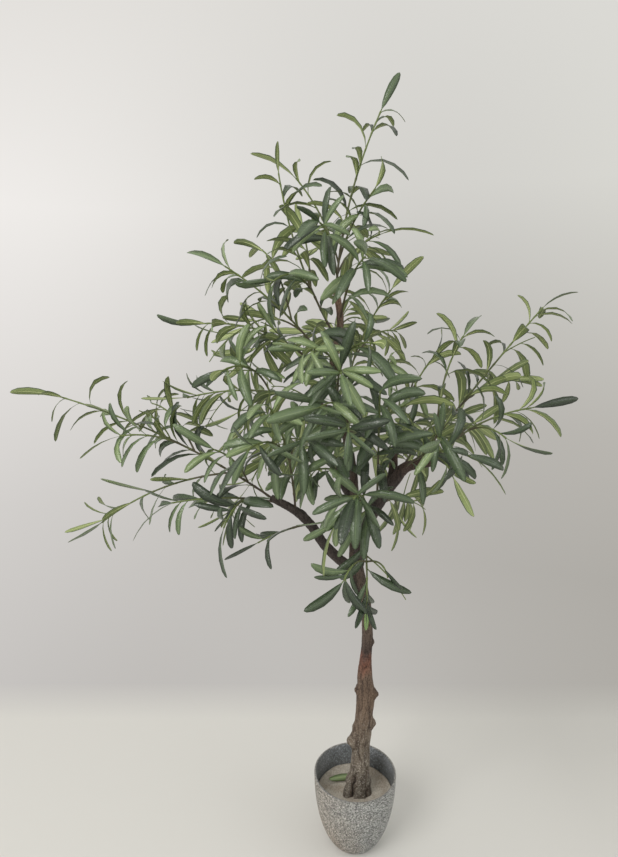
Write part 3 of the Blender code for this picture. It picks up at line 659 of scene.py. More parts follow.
class Limb:
    """A trunk or bough: its axis, and how far its skin is from it."""

    def __init__(self, rows, gaps, seed, knobs=(), flared=False):
        self.axis, self.radii = smooth_rows(rows, gaps, CLEAR_TRUNK_TOP if flared else math.inf)
        self.knobs = knobs
        self.flared = flared
        self.phase = random.Random(seed).uniform(0, 2 * math.pi)
        self.lengths = [0.0]
        for a, b in zip(self.axis, self.axis[1:]):
            self.lengths.append(self.lengths[-1] + (b - a).length)

    def point_at(self, share):
        wanted = share * self.lengths[-1]
        for k in range(len(self.axis) - 1):
            if self.lengths[k + 1] >= wanted or k == len(self.axis) - 2:
                part = (wanted - self.lengths[k]) / (self.lengths[k + 1] - self.lengths[k])
                return self.axis[k].lerp(self.axis[k + 1], part)

    def from_knob(self, ring, angle, share, degrees, spread):
        """Distance on the skin from a knob's middle, in widths of the knob."""
        off_along = self.lengths[ring] - share * self.lengths[-1]
        turn = (angle - math.radians(degrees) + math.pi) % (2 * math.pi) - math.pi
        return math.hypot(off_along, turn * self.radii[ring]) / (spread * KNOB_ROUNDNESS)

    def skin_radius(self, ring, angle):
        along = self.lengths[ring]
        radius = self.radii[ring]
        for times, turning, phases, share in BARK_WAVES:
            wave = math.sin(times * angle + turning * along + phases * self.phase)
            radius += self.radii[ring] * share * wave
        if self.flared:
            lobes = math.cos(FLARE_LOBES * angle + self.phase)
            radius += self.radii[ring] * FLARE_DEPTH * lobes * math.exp(-along / FLARE_HEIGHT)
        for share, degrees, height, spread in self.knobs:
            radius += height * math.exp(-self.from_knob(ring, angle, share, degrees, spread) ** 2 / 2)
        return radius

    def frame_at(self, ring):
        """Directions along the limb, to its side and to its back."""
        last = len(self.axis) - 1
        along = (self.axis[min(ring + 1, last)] - self.axis[max(ring - 1, 0)]).normalized()
        if self.flared and ring == 0:
            along = Vector((0, 0, 1))
        to_back = Vector((0, 1, 0))
        to_back = (to_back - along * to_back.dot(along)).normalized()
        return along, to_back.cross(along).normalized(), to_back

    def coarse_skin(self, grow):
        """Corners and faces of the plain solid that leaves keep clear of."""
        verts = []
        last = len(self.axis) - 1
        for ring, centre in enumerate(self.axis):
            along, to_side, to_back = self.frame_at(ring)
            if ring == last:
                centre = centre + along * grow
            if ring == 0 and not self.flared:
                centre = centre - along * grow
            for k in range(COARSE_SIDES):
                angle = 2 * math.pi * k / COARSE_SIDES
                outwards = to_side * math.cos(angle) + to_back * math.sin(angle)
                verts.append(centre + outwards * (self.skin_radius(ring, angle) + grow))
        faces = [tuple(range(COARSE_SIDES)), tuple(range(len(verts) - COARSE_SIDES, len(verts)))]
        for a in range(last * COARSE_SIDES):
            b = a + 1 if (a + 1) % COARSE_SIDES else a + 1 - COARSE_SIDES
            faces.append((a, b, b + COARSE_SIDES))
            faces.append((a, b + COARSE_SIDES, a + COARSE_SIDES))
        return verts, faces


limbs = {}
for name, (rows, knobs, seed) in LIMB_ROWS.items():
    is_trunk = name == "trunk"
    limbs[name] = Limb(rows, TRUNK_GAPS if is_trunk else BOUGH_GAPS, seed, knobs, flared=is_trunk)
print("limb lengths in mm:", {name: round(limb.lengths[-1] * 1000) for name, limb in limbs.items()})

# %% [markdown]
# ## Bark
# Real olive bark is split by long, wandering furrows, and the cast trunk copies that.
# They could be drawn one by one. But where a stretched noise passes through zero it
# draws long thin lines by itself, so those lines become the furrows.

# %% Furrows
FURROW_ACROSS = 120             # furrows to the metre, round the limb
FURROW_STRETCH = 0.16           # how much slower they change along it
FURROW_DEPTH = 0.0009
FURROW_WIDTH = 0.20
FURROW_EDGE = 1.5               # above 1 the edges are soft and the middle is sharp
FURROW_BEND = Vector((0.6, 0.6, 0))     # in widths of a furrow
FURROW_BENDS = 21               # bends to the metre
CRACKS = 2.3                    # how much finer the cracks between them are
CRACK_DEPTH = 0.5               # of a furrow's
CRACK_START = Vector((7, 3, 5))


def furrows_at(place):
    """How deep in a furrow or a crack a place on the bark lies, from 0 to 1."""
    bent = Vector((place.x, place.y, place.z * FURROW_STRETCH)) * FURROW_ACROSS
    bent += FURROW_BEND * noise.noise(place * FURROW_BENDS)
    line = abs(noise.noise(bent))
    fine_line = abs(noise.noise(bent * CRACKS + CRACK_START))
    furrow = max(0.0, 1 - line / FURROW_WIDTH) ** FURROW_EDGE
    crack = CRACK_DEPTH * max(0.0, 1 - fine_line / FURROW_WIDTH) ** FURROW_EDGE
    return min(1.0, furrow + crack)


print("depth of a furrow in mm:", FURROW_DEPTH * 1000)

# %% [markdown]
# The foot has a few deep creases that run up from the cement. There are so few that
# each has a row of its own in a table, and a slow noise lets it wander.

# %% Creases
# Degrees round, height that each reaches, depth, width in radians.
FOOT_CREASES = [
    (238, 0.178, 0.0055, 0.15), (318, 0.146, 0.0028, 0.22), (282, 0.128, 0.0016, 0.14),
    (140, 0.158, 0.0032, 0.22), (40, 0.150, 0.0030, 0.22),
]
CREASE_START = 0.113            # height where they begin
CREASE_AT_START = 0.4           # share of their depth that they have there
CREASE_ENDS = (0.004, 0.018)    # metres over which they set in and run out
CREASE_BENDS = 60
CREASE_BEND = 0.25              # radians


def creases_at(angle, place):
    """For each crease at the foot: how far in it a place lies, from 0 to 1, and its depth."""
    for degrees, reach, depth, width in FOOT_CREASES:
        turn = (angle - math.radians(degrees) + math.pi) % (2 * math.pi) - math.pi
        turn += CREASE_BEND * noise.noise(place * CREASE_BENDS)
        set_in = (place.z - CREASE_START) / CREASE_ENDS[0] + CREASE_AT_START
        run_out = (reach - place.z) / CREASE_ENDS[1]
        yield math.exp(-(turn / width) ** 2) * max(0.0, min(1.0, run_out, set_in)), depth


print("depths of the creases in mm:", [row[2] * 1000 for row in FOOT_CREASES])

# %% [markdown]
# The relief adds all of it up: furrows, grain, flutes, creases and the rings round each
# knob. Each corner also keeps how deep in a furrow it lies, as an attribute, so that
# the finish can darken it there.

# %% Bark relief
FURROW_SHADOW = 0.8             # how dark a full furrow is
FULL_BARK_RADIUS = 0.014        # thinner limbs have shallower furrows
GRAIN = 420
GRAIN_DEPTH = 0.00035
FLUTES = 5
FLUTE_DEPTH = 0.035             # of the radius
FLUTE_TURNING = 14              # radians to the metre that they turn round the limb
FLUTE_BENDS = 16
FLUTE_BEND = 2                  # radians
# Knobs that only this fine skin has, as in the trunk's own table.
FOOT_KNOBS = [
    (0.033, 188, 0.0045, 0.0095), (0.031, 356, 0.0035, 0.0085), (0.006, 200, 0.0030, 0.0080),
    (0.119, 192, 0.0062, 0.0165), (0.156, 4, 0.0045, 0.0075),
]
# On a knob, distances are in widths of the knob and depths in its heights.
KNOB_LIMIT = 5                  # farther off nothing of a knob shows
KNOB_BENDS = 140
KNOB_RINGS = (0.10, 4.4, 2.2)   # depth of the rings round it, how close they are, how far they go
KNOB_EYE = (0.16, 0.42)         # depth and width of the hollow in its middle
KNOB_SHADOW = (0.7, 1.9, 0.35)  # how dark the ring round it is, its place and its width


def bark_relief(limb, ring, angle, place):
    """How far the bark stands out here, and how deep in a furrow it lies."""
    radius = limb.radii[ring]
    furrow = furrows_at(place)
    hollow = FURROW_SHADOW * furrow
    out = -FURROW_DEPTH * min(1.0, radius / FULL_BARK_RADIUS) * furrow
    out += GRAIN_DEPTH * noise.fractal(place * GRAIN, 0.8, 2.0, 3)
    flute = FLUTES * angle + place.z * FLUTE_TURNING + noise.noise(place * FLUTE_BENDS) * FLUTE_BEND
    out += radius * FLUTE_DEPTH * math.sin(flute)
    if limb.flared:
        for crease, depth in creases_at(angle, place):
            out -= depth * crease
            hollow = max(hollow, crease)
        for share, degrees, height, spread in FOOT_KNOBS:
            out += height * math.exp(-limb.from_knob(ring, angle, share, degrees, spread) ** 2 / 2)
    for share, degrees, height, spread in limb.knobs:
        away = limb.from_knob(ring, angle, share, degrees, spread)
        if away < KNOB_LIMIT:
            depth, closeness, reach = KNOB_RINGS
            rings = math.sin(away * closeness + noise.noise(place * KNOB_BENDS))
            out += depth * height * rings * math.exp(-away / reach)
            out -= KNOB_EYE[0] * height * math.exp(-(away / KNOB_EYE[1]) ** 2)
            darkness, middle, width = KNOB_SHADOW
            hollow = max(hollow, darkness * math.exp(-((away - middle) / width) ** 2))
    return out, hollow


print("rings round a knob take", KNOB_RINGS[0], "of its height")

# %% [markdown]
# The bark's colour changes with height: grey with pale specks at the foot, brown in
# the middle, a reddish stretch where the trunk narrows, and dark above. A ramp on the
# height holds those colours, two noises break it up, and the furrows are darkened.

# %% Bark finish
TRUNK_HEIGHTS = (FILLER_TOP, 1.148)     # where the trunk's bands start and end
TRUNK_BANDS = [                 # share of that height, and the colour there
    (0.000, paint(130, 126, 117)), (0.120, paint(126, 117, 105)), (0.200, paint(128, 110, 94)),
    (0.262, paint(114, 97, 84)), (0.284, paint(136, 100, 84)), (0.306, paint(138, 94, 78)),
    (0.324, paint(84, 70, 65)), (0.348, paint(92, 79, 71)), (0.380, paint(108, 95, 85)),
    (0.500, paint(92, 80, 72)), (0.800, paint(86, 74, 66)), (0.965, paint(122, 104, 92)),
    (1.000, paint(156, 124, 106)),
]
BOUGH_HEIGHTS = (0.60, 0.86)
BOUGH_BANDS = [
    (0.0, paint(80, 71, 68)), (0.4, paint(70, 63, 61)),
    (0.8, paint(74, 66, 64)), (1.0, paint(94, 74, 67)),
]
SPECK_HEIGHTS = (0.34, 0.15)    # pale specks set in below the first and are full at the second


def bark_colour(finish, heights, bands, streaks, grain):
    """The bands, broken up by long streaks and a fine grain."""
    drift = finish.noise(34, 3.0, 0.5, (1, 1, 0.35))
    height = finish.between(finish.axis("Z"), *heights)
    height = finish.sum(height, finish.between(drift, 0.3, 0.7, -0.014, 0.014))
    streak_tint = finish.steps(streaks, [
        (0.30, paint(150, 138, 130)), (0.50, paint(236, 230, 224)), (0.68, paint(255, 252, 246))])
    grain_tint = finish.steps(grain, [
        (0.36, paint(150, 142, 136)), (0.52, paint(240, 236, 232)), (0.66, paint(255, 255, 255))])
    colour = finish.mix(0.85, finish.steps(height, bands), streak_tint, "MULTIPLY")
    return finish.mix(0.8, colour, grain_tint, "MULTIPLY")


def bark_finish(name, heights, bands, speckled):
    finish = Finish(name, bands[0][1], 0.75)
    streaks = finish.noise(150, 4.0, 0.6, (1, 1, 0.14))
    grain = finish.noise(520, 4.0, 0.2, (1, 1, 0.6))
    colour = bark_colour(finish, heights, bands, streaks, grain)
    if speckled:
        specks = finish.between(finish.noise(430, 1.0, 0.4), 0.55, 0.67)
        amount = finish.sum(specks, finish.between(finish.axis("Z"), *SPECK_HEIGHTS), "MULTIPLY")
        colour = finish.mix(finish.sum(amount, 0.8, "MULTIPLY"), colour, paint(194, 187, 176))
    shadow = finish.steps(finish.attribute("hollow"), [
        (0.12, paint(255, 255, 255)), (0.76, paint(182, 170, 162)), (1.0, paint(88, 76, 70))])
    colour = finish.mix(1.0, colour, shadow, "MULTIPLY")
    relief = finish.sum(finish.sum(grain, 0.5, "MULTIPLY"), streaks)
    return finish.coat(colour, finish.between(grain, 0.3, 0.7, 0.84, 0.62), relief, 0.0009)


trunk_bark = bark_finish("trunk_bark", TRUNK_HEIGHTS, TRUNK_BANDS, True)
bough_bark = bark_finish("bough_bark", BOUGH_HEIGHTS, BOUGH_BANDS, False)
print("bark finishes:", trunk_bark.name, bough_bark.name)

# %% [markdown]
# The skin could be sculpted, but relief this fine is easier to place by rule. A flat
# grid is rolled round the limb's axis: its rows become rings, and each corner moves out
# to the skin and its relief. The seam is merged, and the ends are closed and domed.

# %% Trunk and boughs
# Corners round the limb, and metres between rings: on the clear trunk and in the crown.
TRUNK_MESH = (92, (0.0015, 0.0024))
BOUGH_MESH = (56, (0.0017, 0.0017))
# Each step in from an end's edge, in radii, and the rise there.
END_DOME = [(0.16, 0.10), (0.34, 0.06), (0.40, -0.05)]


def roll_limb(name, rows, knobs, seed, sides, gaps, bark):
    """The fine skin of a limb, rolled from a grid round its axis."""
    limb = Limb(rows, gaps, seed, knobs, flared=name == "trunk")
    rings = len(limb.axis) - 1
    shape = bmesh.new()
    hollow = shape.verts.layers.float.new("hollow")
    bmesh.ops.create_grid(shape, x_segments=sides, y_segments=rings, size=0.5)
    frames = [limb.frame_at(ring) for ring in range(rings + 1)]
    for corner in shape.verts:
        ring = round((corner.co.y + 0.5) * rings)
        angle = round((corner.co.x + 0.5) * sides) % sides * 2 * math.pi / sides
        _, to_side, to_back = frames[ring]
        outwards = to_side * math.cos(angle) + to_back * math.sin(angle)
        radius = limb.skin_radius(ring, angle)
        out, corner[hollow] = bark_relief(limb, ring, angle, limb.axis[ring] + outwards * radius)
        corner.co = limb.axis[ring] + outwards * (radius + out)
    bmesh.ops.remove_doubles(shape, verts=shape.verts, dist=1e-6)
    rims = [edge for edge in shape.edges if edge.is_boundary]
    ends = bmesh.ops.holes_fill(shape, edges=rims, sides=0)["faces"]
    radius = limb.radii[-1]
    for share, rise in END_DOME:
        bmesh.ops.inset_individual(shape, faces=ends, thickness=radius * share, depth=radius * rise)
    bmesh.ops.poke(shape, faces=ends)
    return show_piece(name + "_bark", mesh_of(shape, name + "_bark", bark), "bark", name)


for name, (rows, knobs, seed) in LIMB_ROWS.items():
    if name == "trunk":
        roll_limb(name, rows, knobs, seed, *TRUNK_MESH, trunk_bark)
    else:
        roll_limb(name, rows, knobs, seed, *BOUGH_MESH, bough_bark)

# %% [markdown]
# ## The foliage's rule
# Every mass of foliage is a small tree of its own. Its stem starts in a limb, side
# twigs start on the stem, and leaves are dealt out along every twig by a seeded
# rule: each is turned on from the last by 137.5 degrees, leans away, bends and sags.
# A leaf that would touch a limb, a twig or another leaf is turned on, and left out
# where no place is free.
#
# The table and the rule are the packed solids' own, so the first leaves come out
# exactly where theirs are.

# %% Sizes of twigs and leaves
TWIG_ROOT_RADIUS = 0.0026
TWIG_TIP_RADIUS = 0.0015
SIDE_TWIG_SHARE = 0.85
TWIG_STEP = 0.050
TWIG_UPRIGHT = 0.2
LEAF_LENGTH = (0.066, 0.090)
LEAF_TIP_SHARE = 0.80
LEAF_WIDTH_SHARE = 0.26
LEAF_THICKNESS = 0.0019
LEAF_STEPS = 4
LEAF_GAP = 0.0245
LEAF_TIP_GAP = 0.0140
LEAF_TIP_STRETCH = 0.040
LEAF_GAP_SCATTER = 0.15
BARE_ROOT = 0.030
LEAF_TURN = math.radians(137.5)
LEAF_TURN_SCATTER = math.radians(22)
LEAF_NEXT_TRY = math.radians(50)
LEAF_LEAN = (math.radians(28), math.radians(52))
LEAF_BEND = (math.radians(25), math.radians(75))
LEAF_DROOP = (0.15, 0.55)
TIP_LEAN = (math.radians(5), math.radians(20))
TIP_BEND = (math.radians(5), math.radians(30))
TIP_DROOP = (0.0, 0.20)
LEAF_TRIES = 5
LEAF_ROOT_SINK = 0.0003
LEAF_SPARE = 0.0008
SPACE_SHARE = 0.30
print("leaf lengths in mm:", [round(length * 1000) for length in LEAF_LENGTH])

# %% [markdown]
# One row of the table is one mass: its name, the limb that it starts in, the place on
# that limb, its seed, and then its twigs. A twig is the x, y and z of its tip, its bow
# upwards and its share along the stem. The first twig is the stem itself.

# %% Masses of foliage
MASSES = [
    ("crown_top", "trunk", 1.0, 289, [
        (0.023, 0.000, 1.442, 0.015, 0), (0.010, -0.060, 1.310, 0.010, 0.18),
        (-0.120, 0.050, 1.345, 0.010, 0.16), (0.010, 0.120, 1.230, 0.015, 0.10),
        (-0.080, -0.130, 1.250, 0.020, 0.08)]),
    ("crown_top_left", "trunk", 0.915, 280, [
        (-0.150, 0.030, 1.350, -0.015, 0), (-0.160, -0.080, 1.160, 0.025, 0.30),
        (-0.110, 0.140, 1.260, 0.020, 0.35)]),
    ("crown_middle", "trunk", 0.950, 249, [
        (-0.010, -0.130, 1.200, 0.020, 0), (0.020, -0.060, 1.240, 0.020, 0.45)]),
    ("upper_left", "trunk", 0.86, 255, [
        (-0.240, -0.030, 1.190, 0.015, 0), (-0.190, 0.160, 1.230, 0.020, 0.45),
        (-0.220, 0.120, 1.080, 0.020, 0.35)]),
    ("upper_left_low", "trunk", 0.83, 256, [
        (-0.300, 0.040, 1.090, 0.040, 0), (-0.220, 0.150, 0.990, 0.030, 0.45)]),
    ("mid_left", "trunk", 0.79, 186, [
        (-0.330, 0.050, 0.950, 0.025, 0), (-0.240, -0.100, 1.020, 0.025, 0.45),
        (-0.230, 0.140, 0.870, 0.020, 0.40)]),
    ("left_reach", "left_bough", 1.0, 114, [
        (-0.550, -0.020, 0.965, 0.018, 0), (-0.430, -0.060, 0.900, 0.010, 0.42),
        (-0.490, -0.010, 0.720, 0.020, 0.20), (-0.410, 0.100, 0.930, 0.020, 0.38),
        (-0.260, -0.080, 0.880, 0.010, 0.12)]),
    ("left_low", "left_bough", 0.90, 231, [
        (-0.340, -0.070, 0.780, 0.010, 0), (-0.240, -0.140, 0.760, 0.015, 0.30),
        (-0.250, 0.050, 0.720, 0.010, 0.30)]),
    ("left_under", "left_bough", 0.62, 200, [
        (-0.190, -0.060, 0.700, 0.005, 0)]),
    ("left_inner", "left_bough", 0.78, 167, [
        (-0.160, -0.160, 0.970, 0.025, 0), (-0.190, -0.200, 0.910, 0.020, 0.45),
        (-0.100, -0.180, 0.920, 0.020, 0.40)]),
    ("middle_front", "trunk", 0.640, 176, [
        (-0.100, -0.120, 0.850, 0.020, 0), (-0.050, -0.130, 0.880, 0.010, 0.40)]),
    ("fork_front", "right_bough", 0.26, 113, [
        (0.008, -0.090, 0.590, 0.030, 0), (-0.035, -0.110, 0.650, 0.015, 0.45),
        (0.045, -0.090, 0.645, 0.015, 0.45)]),
    ("centre_low_front", "right_bough", 0.38, 167, [
        (-0.030, -0.250, 0.850, 0.020, 0), (-0.050, -0.160, 0.780, 0.010, 0.45)]),
    ("centre_front", "trunk", 0.72, 206, [
        (-0.040, -0.250, 0.950, 0.025, 0), (-0.080, -0.220, 0.980, 0.020, 0.50)]),
    ("centre_high_front", "trunk", 0.80, 149, [
        (-0.050, -0.220, 1.030, 0.030, 0), (-0.100, -0.180, 1.060, 0.020, 0.45),
        (0.000, -0.160, 1.070, 0.020, 0.45)]),
    ("right_inner", "right_bough", 0.50, 152, [
        (0.010, -0.200, 1.000, 0.025, 0), (0.060, -0.100, 0.960, 0.015, 0.50)]),
    ("upper_right", "trunk", 0.75, 116, [
        (0.050, 0.020, 1.150, 0.025, 0), (0.080, 0.140, 1.070, 0.020, 0.50)]),
    ("right_mid", "right_fork", 1.0, 201, [
        (0.140, 0.050, 1.030, 0.020, 0), (0.090, -0.060, 0.980, 0.020, 0.55)]),
    ("right_high", "right_bough", 0.90, 108, [
        (0.330, 0.030, 1.120, 0.005, 0), (0.180, 0.000, 1.070, 0.020, 0.18),
        (0.300, 0.080, 0.980, 0.015, 0.35)]),
    ("right_arm", "right_bough", 1.0, 156, [
        (0.290, -0.060, 0.950, 0.020, 0), (0.230, -0.120, 0.910, 0.010, 0.45),
        (0.220, 0.040, 0.900, 0.010, 0.35)]),
    ("right_front", "right_bough", 0.80, 257, [
        (0.150, -0.200, 0.900, 0.020, 0), (0.100, -0.220, 0.930, 0.020, 0.50),
        (0.140, -0.140, 0.850, 0.010, 0.45)]),
    ("right_back_low", "right_bough", 0.46, 282, [
        (0.120, 0.140, 0.710, 0.015, 0), (0.090, 0.110, 0.680, 0.005, 0.50)]),
    ("right_back", "right_bough", 0.76, 161, [
        (0.230, 0.220, 0.870, 0.030, 0), (0.150, 0.200, 0.830, 0.020, 0.45)]),
    ("back_left", "middle_bough", 1.0, 182, [
        (-0.200, 0.260, 0.800, 0.030, 0), (-0.120, 0.260, 0.750, 0.020, 0.45),
        (-0.220, 0.160, 0.750, 0.020, 0.40)]),
    ("back_centre", "trunk", 0.70, 138, [
        (-0.040, 0.290, 0.820, 0.030, 0), (0.060, 0.250, 0.780, 0.020, 0.50),
        (-0.070, 0.220, 0.960, 0.010, 0.45)]),
    ("back_high", "trunk", 0.85, 127, [
        (-0.040, 0.260, 1.070, 0.030, 0), (-0.120, 0.200, 1.040, 0.020, 0.50),
        (0.020, 0.200, 1.090, 0.020, 0.50)]),
]
print("masses:", len(MASSES), "with", sum(len(rows) for *_, rows in MASSES), "stems and side twigs")

# %% [markdown]
# A twig is a wire that bows. A curve with one control point over its middle gives the
# bow, and is cut into a few straight steps. Its plain closed skin, as corners and
# faces, is never seen: it only tells what touches what.

# %% Twigs
class Twig:
    """A thin tapering stalk that bows upwards between its root and its tip."""

    def __init__(self, root, tip, bow, root_radius, tip_radius, age=0.0):
        chord = tip - root
        along = chord.normalized()
        upwards = Vector((0, 0, 1)) - along * along.z
        if upwards.length < TWIG_UPRIGHT:
            away = Vector((-1 if chord.x > 0 else 1, 0, 0))
            upwards = away - along * away.dot(along)
        self.root, self.tip, self.age = root, tip, age
        self.control = (root + tip) / 2 + upwards.normalized() * (2 * bow)
        count = max(3, math.ceil(chord.length / TWIG_STEP))
        self.points = [self.curve(k / count) for k in range(count + 1)]
        self.radii = [root_radius + (tip_radius - root_radius) * k / count for k in range(count + 1)]
        self.lengths = [0.0]
        for a, b in zip(self.points, self.points[1:]):
            self.lengths.append(self.lengths[-1] + (b - a).length)
        self.tree = BVHTree.FromPolygons(*self.skin(LEAF_SPARE))
        self.middle = (root + tip) / 2
        self.reach = max((point - self.middle).length for point in self.points)
        self.leaf_places = []

    def curve(self, t):
        return self.root * (1 - t) ** 2 + self.control * (2 * t * (1 - t)) + self.tip * t ** 2

    def at(self, distance):
        """Point, direction and radius at a distance along the twig."""
        for k in range(len(self.points) - 1):
            if self.lengths[k + 1] >= distance or k == len(self.points) - 2:
                part = (distance - self.lengths[k]) / (self.lengths[k + 1] - self.lengths[k])
                along = (self.points[k + 1] - self.points[k]).normalized()
                radius = self.radii[k] + (self.radii[k + 1] - self.radii[k]) * part
                return self.points[k].lerp(self.points[k + 1], part), along, radius

    def skin(self, grow):
        """Corners and faces of a closed three-sided stalk."""
        verts = []
        sideways = (self.points[1] - self.points[0]).orthogonal().normalized()
        for k, point in enumerate(self.points):
            ahead = self.points[min(k + 1, len(self.points) - 1)]
            behind = self.points[max(k - 1, 0)]
            along = (ahead - behind).normalized()
            sideways = (sideways - along * sideways.dot(along)).normalized()
            other = along.cross(sideways)
            for corner in range(3):
                angle = 2 * math.pi * corner / 3
                outwards = sideways * math.cos(angle) + other * math.sin(angle)
                verts.append(point + outwards * (self.radii[k] + grow))
        faces = [(0, 2, 1), (len(verts) - 3, len(verts) - 2, len(verts) - 1)]
        for k in range(len(self.points) - 1):
            for corner in range(3):
                a = 3 * k + corner
                b = 3 * k + (corner + 1) % 3
                faces.append((a, b, b + 3))
                faces.append((a, b + 3, a + 3))
        return verts, faces


bowed_twig = Twig(Vector(), Vector((0.2, 0, 0)), 0.02, TWIG_ROOT_RADIUS, TWIG_TIP_RADIUS)
print("a twig of 200 mm that bows by 20 mm is", round(bowed_twig.lengths[-1] * 1000), "mm long")

# %% [markdown]
# A leaf is a middle line of a few steps that turns away from its twig and sags. Its
# plain skin is a flat double pyramid, which is all that the packed solids show of it.

# %% Leaves
class Leaf:
    """A lance-shaped blade that bends away from its twig and sags a little."""

    def __init__(self, base, along, outwards, lean, bend, droop, length):
        self.base, self.along, self.outwards = base, along, outwards
        self.lean, self.bend, self.droop, self.length = lean, bend, droop, length
        self.side = along.cross(outwards).normalized()
        self.spine = [base.copy()]
        for k in range(LEAF_STEPS):
            angle = lean + bend * (k + 0.5) / LEAF_STEPS
            heading = along * math.cos(angle) + outwards * math.sin(angle)
            heading.z -= droop * (k + 0.5) / LEAF_STEPS
            self.spine.append(self.spine[-1] + heading.normalized() * (length / LEAF_STEPS))
        self.middle = self.spine[LEAF_STEPS // 2]
        self.twig = None
        self.distance = 0.0         # along its twig
        self.youth = 0.0            # tones by which it is fresher than the oldest leaves
        self.twist = 1.0            # share of the chance twist that it takes
        self.faced = 0.0            # share of the way that it is turned to the front
        self.is_young = False       # True for a leaf with the palest finish

    def skin(self, grow):
        """Eight faces: a root, a tip and four corners round the middle."""
        first = (self.spine[1] - self.spine[0]).normalized()
        root = self.base - first * LEAF_ROOT_SINK
        middle = self.middle
        tip = self.spine[-1] + (self.spine[-1] - middle).normalized() * grow
        chord = (tip - root).normalized()
        side = (self.side - chord * self.side.dot(chord)).normalized()
        face = side.cross(chord)
        half_width = self.length * LEAF_WIDTH_SHARE / 2 + grow
        half_thickness = LEAF_THICKNESS / 2 + grow
        verts = [root, tip, middle + side * half_width, middle + face * half_thickness,
                 middle - side * half_width, middle - face * half_thickness]
        faces = []
        for k in range(4):
            faces.append((0, 2 + k, 2 + (k + 1) % 4))
            faces.append((1, 2 + (k + 1) % 4, 2 + k))
        return verts, faces


upwards, sideways = Vector((0, 0, 1)), Vector((1, 0, 0))
plain_leaf = Leaf(Vector(), upwards, sideways, LEAF_LEAN[0], LEAF_BEND[0], 0.0, LEAF_LENGTH[0])
print("faces of a leaf's plain skin:", len(plain_leaf.skin(0.0)[1]))

# %% [markdown]
# The leaves of a mass may not touch anything, and none reaches far into the space of
# another mass. Blender's search trees answer both questions fast: one kind finds out
# whether two skins overlap, and the other finds the nearest point.

# %% Room in the crown
BOX_REACH = 0.006               # how far a fine leaf may pass its solid's box
SOLID_REACH = 0.030             # and how far its tip may be from the solid


def point_tree(points):
    tree = KDTree(len(points))
    for k, point in enumerate(points):
        tree.insert(point, k)
    tree.balance()
    return tree


class Room:
    """All twigs and leaves so far, and what each new one must keep clear of."""

    def __init__(self, limbs):
        self.limbs = limbs
        self.limb_trees = [BVHTree.FromPolygons(*limb.coarse_skin(LEAF_SPARE)) for limb in limbs.values()]
        self.twigs = {}
        self.leaves = {}
        self.laid = []
        self.near_own = {}
        self.near_other = {}
        self.near_solid = {}

    def measure_space(self):
        """Search trees that tell how near a place is to each mass's twigs and solid."""
        for name, own in self.twigs.items():
            others = [twig for key, group in self.twigs.items() if key != name for twig in group]
            self.near_own[name] = point_tree([point for twig in own for point in twig.points])
            self.near_other[name] = point_tree([point for twig in others for point in twig.points])
            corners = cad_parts[name].data.vertices
            self.near_solid[name] = point_tree([corner.co for corner in corners])

    def keeps_space(self, name, tip):
        """True where a tip isn't far nearer to another mass than to its own."""
        return self.near_other[name].find(tip)[2] >= SPACE_SHARE * self.near_own[name].find(tip)[2]

    def is_within(self, name, point):
        """True where a point is inside the solid's box and not far from the solid."""
        low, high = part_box(name)
        in_box = all(a - BOX_REACH <= p <= b + BOX_REACH for a, p, b in zip(low, point, high))
        return in_box and self.near_solid[name].find(point)[2] < SOLID_REACH

    def is_free(self, leaf, name, own_twig):
        """True where a leaf keeps to its mass's space and touches nothing else."""
        if not self.keeps_space(name, leaf.spine[-1]):
            return False
        tree = BVHTree.FromPolygons(*leaf.skin(LEAF_SPARE))
        if any(tree.overlap(limb) for limb in self.limb_trees):
            return False
        for group in self.twigs.values():
            for twig in group:
                is_near = (twig.middle - leaf.middle).length < twig.reach + leaf.length
                if is_near and twig is not own_twig and tree.overlap(twig.tree):
                    return False
        for centre, other in self.laid:
            if (centre - leaf.middle).length < LEAF_LENGTH[1] and tree.overlap(other):
                return False
        leaf.solid = (leaf.middle, tree)
        self.laid.append(leaf.solid)
        return True

    def is_clear(self, twig, parent):
        """True where a twig touches no limb, no leaf and no twig but its own parent."""
        if any(twig.tree.overlap(limb) for limb in self.limb_trees):
            return False
        for group in self.twigs.values():
            for near in group:
                is_near = (near.middle - twig.middle).length < near.reach + twig.reach
                if is_near and near is not parent and twig.tree.overlap(near.tree):
                    return False
        return not any(twig.tree.overlap(leaf) for centre, leaf in self.laid
                       if (centre - twig.middle).length < LEAF_LENGTH[1] + twig.reach)


print("skins of the limbs:", len(Room(limbs).limb_trees))

# %% [markdown]
# Packed solids have to stay few and coarse, and the fine tree goes on from them. In
# the airier masses it drops a few side leaves. Many of the others get a partner across
# the twig, because real leaves sit in pairs, and finer twigs with pairs of their own
# grow between, inside the room of the mass's solid.

# %% Fine tree
FINE_LENGTH = (0.062, 0.088)    # leaves that only this fine tree has
FINE_TRIES = 2
FINE_GAP = 0.0260               # between pairs of leaves on a fine twig
FINE_TIP_RADIUS = 0.0010
FINE_TWIG_LENGTH = (0.075, 0.125)
FINE_TWIG_THINNER = 0.8         # of its parent's radius there
FINE_TWIG_GAP = 0.070
FINE_TWIG_GAP_SCATTER = (0.8, 1.2)
FINE_TWIG_START = 0.050         # bare length of the parent, and how much more by chance
FINE_TWIG_START_SCATTER = 0.03
FINE_TWIG_END = 0.03            # from the parent's tip
FINE_TWIG_LEAN = (math.radians(28), math.radians(55))
FINE_TWIG_BOW = (0.002, 0.010)
FINE_TWIG_TRIES = 8
FINE_TWIG_BARE = 0.018
FINE_TWIG_BARE_SCATTER = 0.01
PARTNER_OFFSET = 0.004
TIP_PARTNERS = 0.85             # share of the leaves at the twigs' tips that get a partner

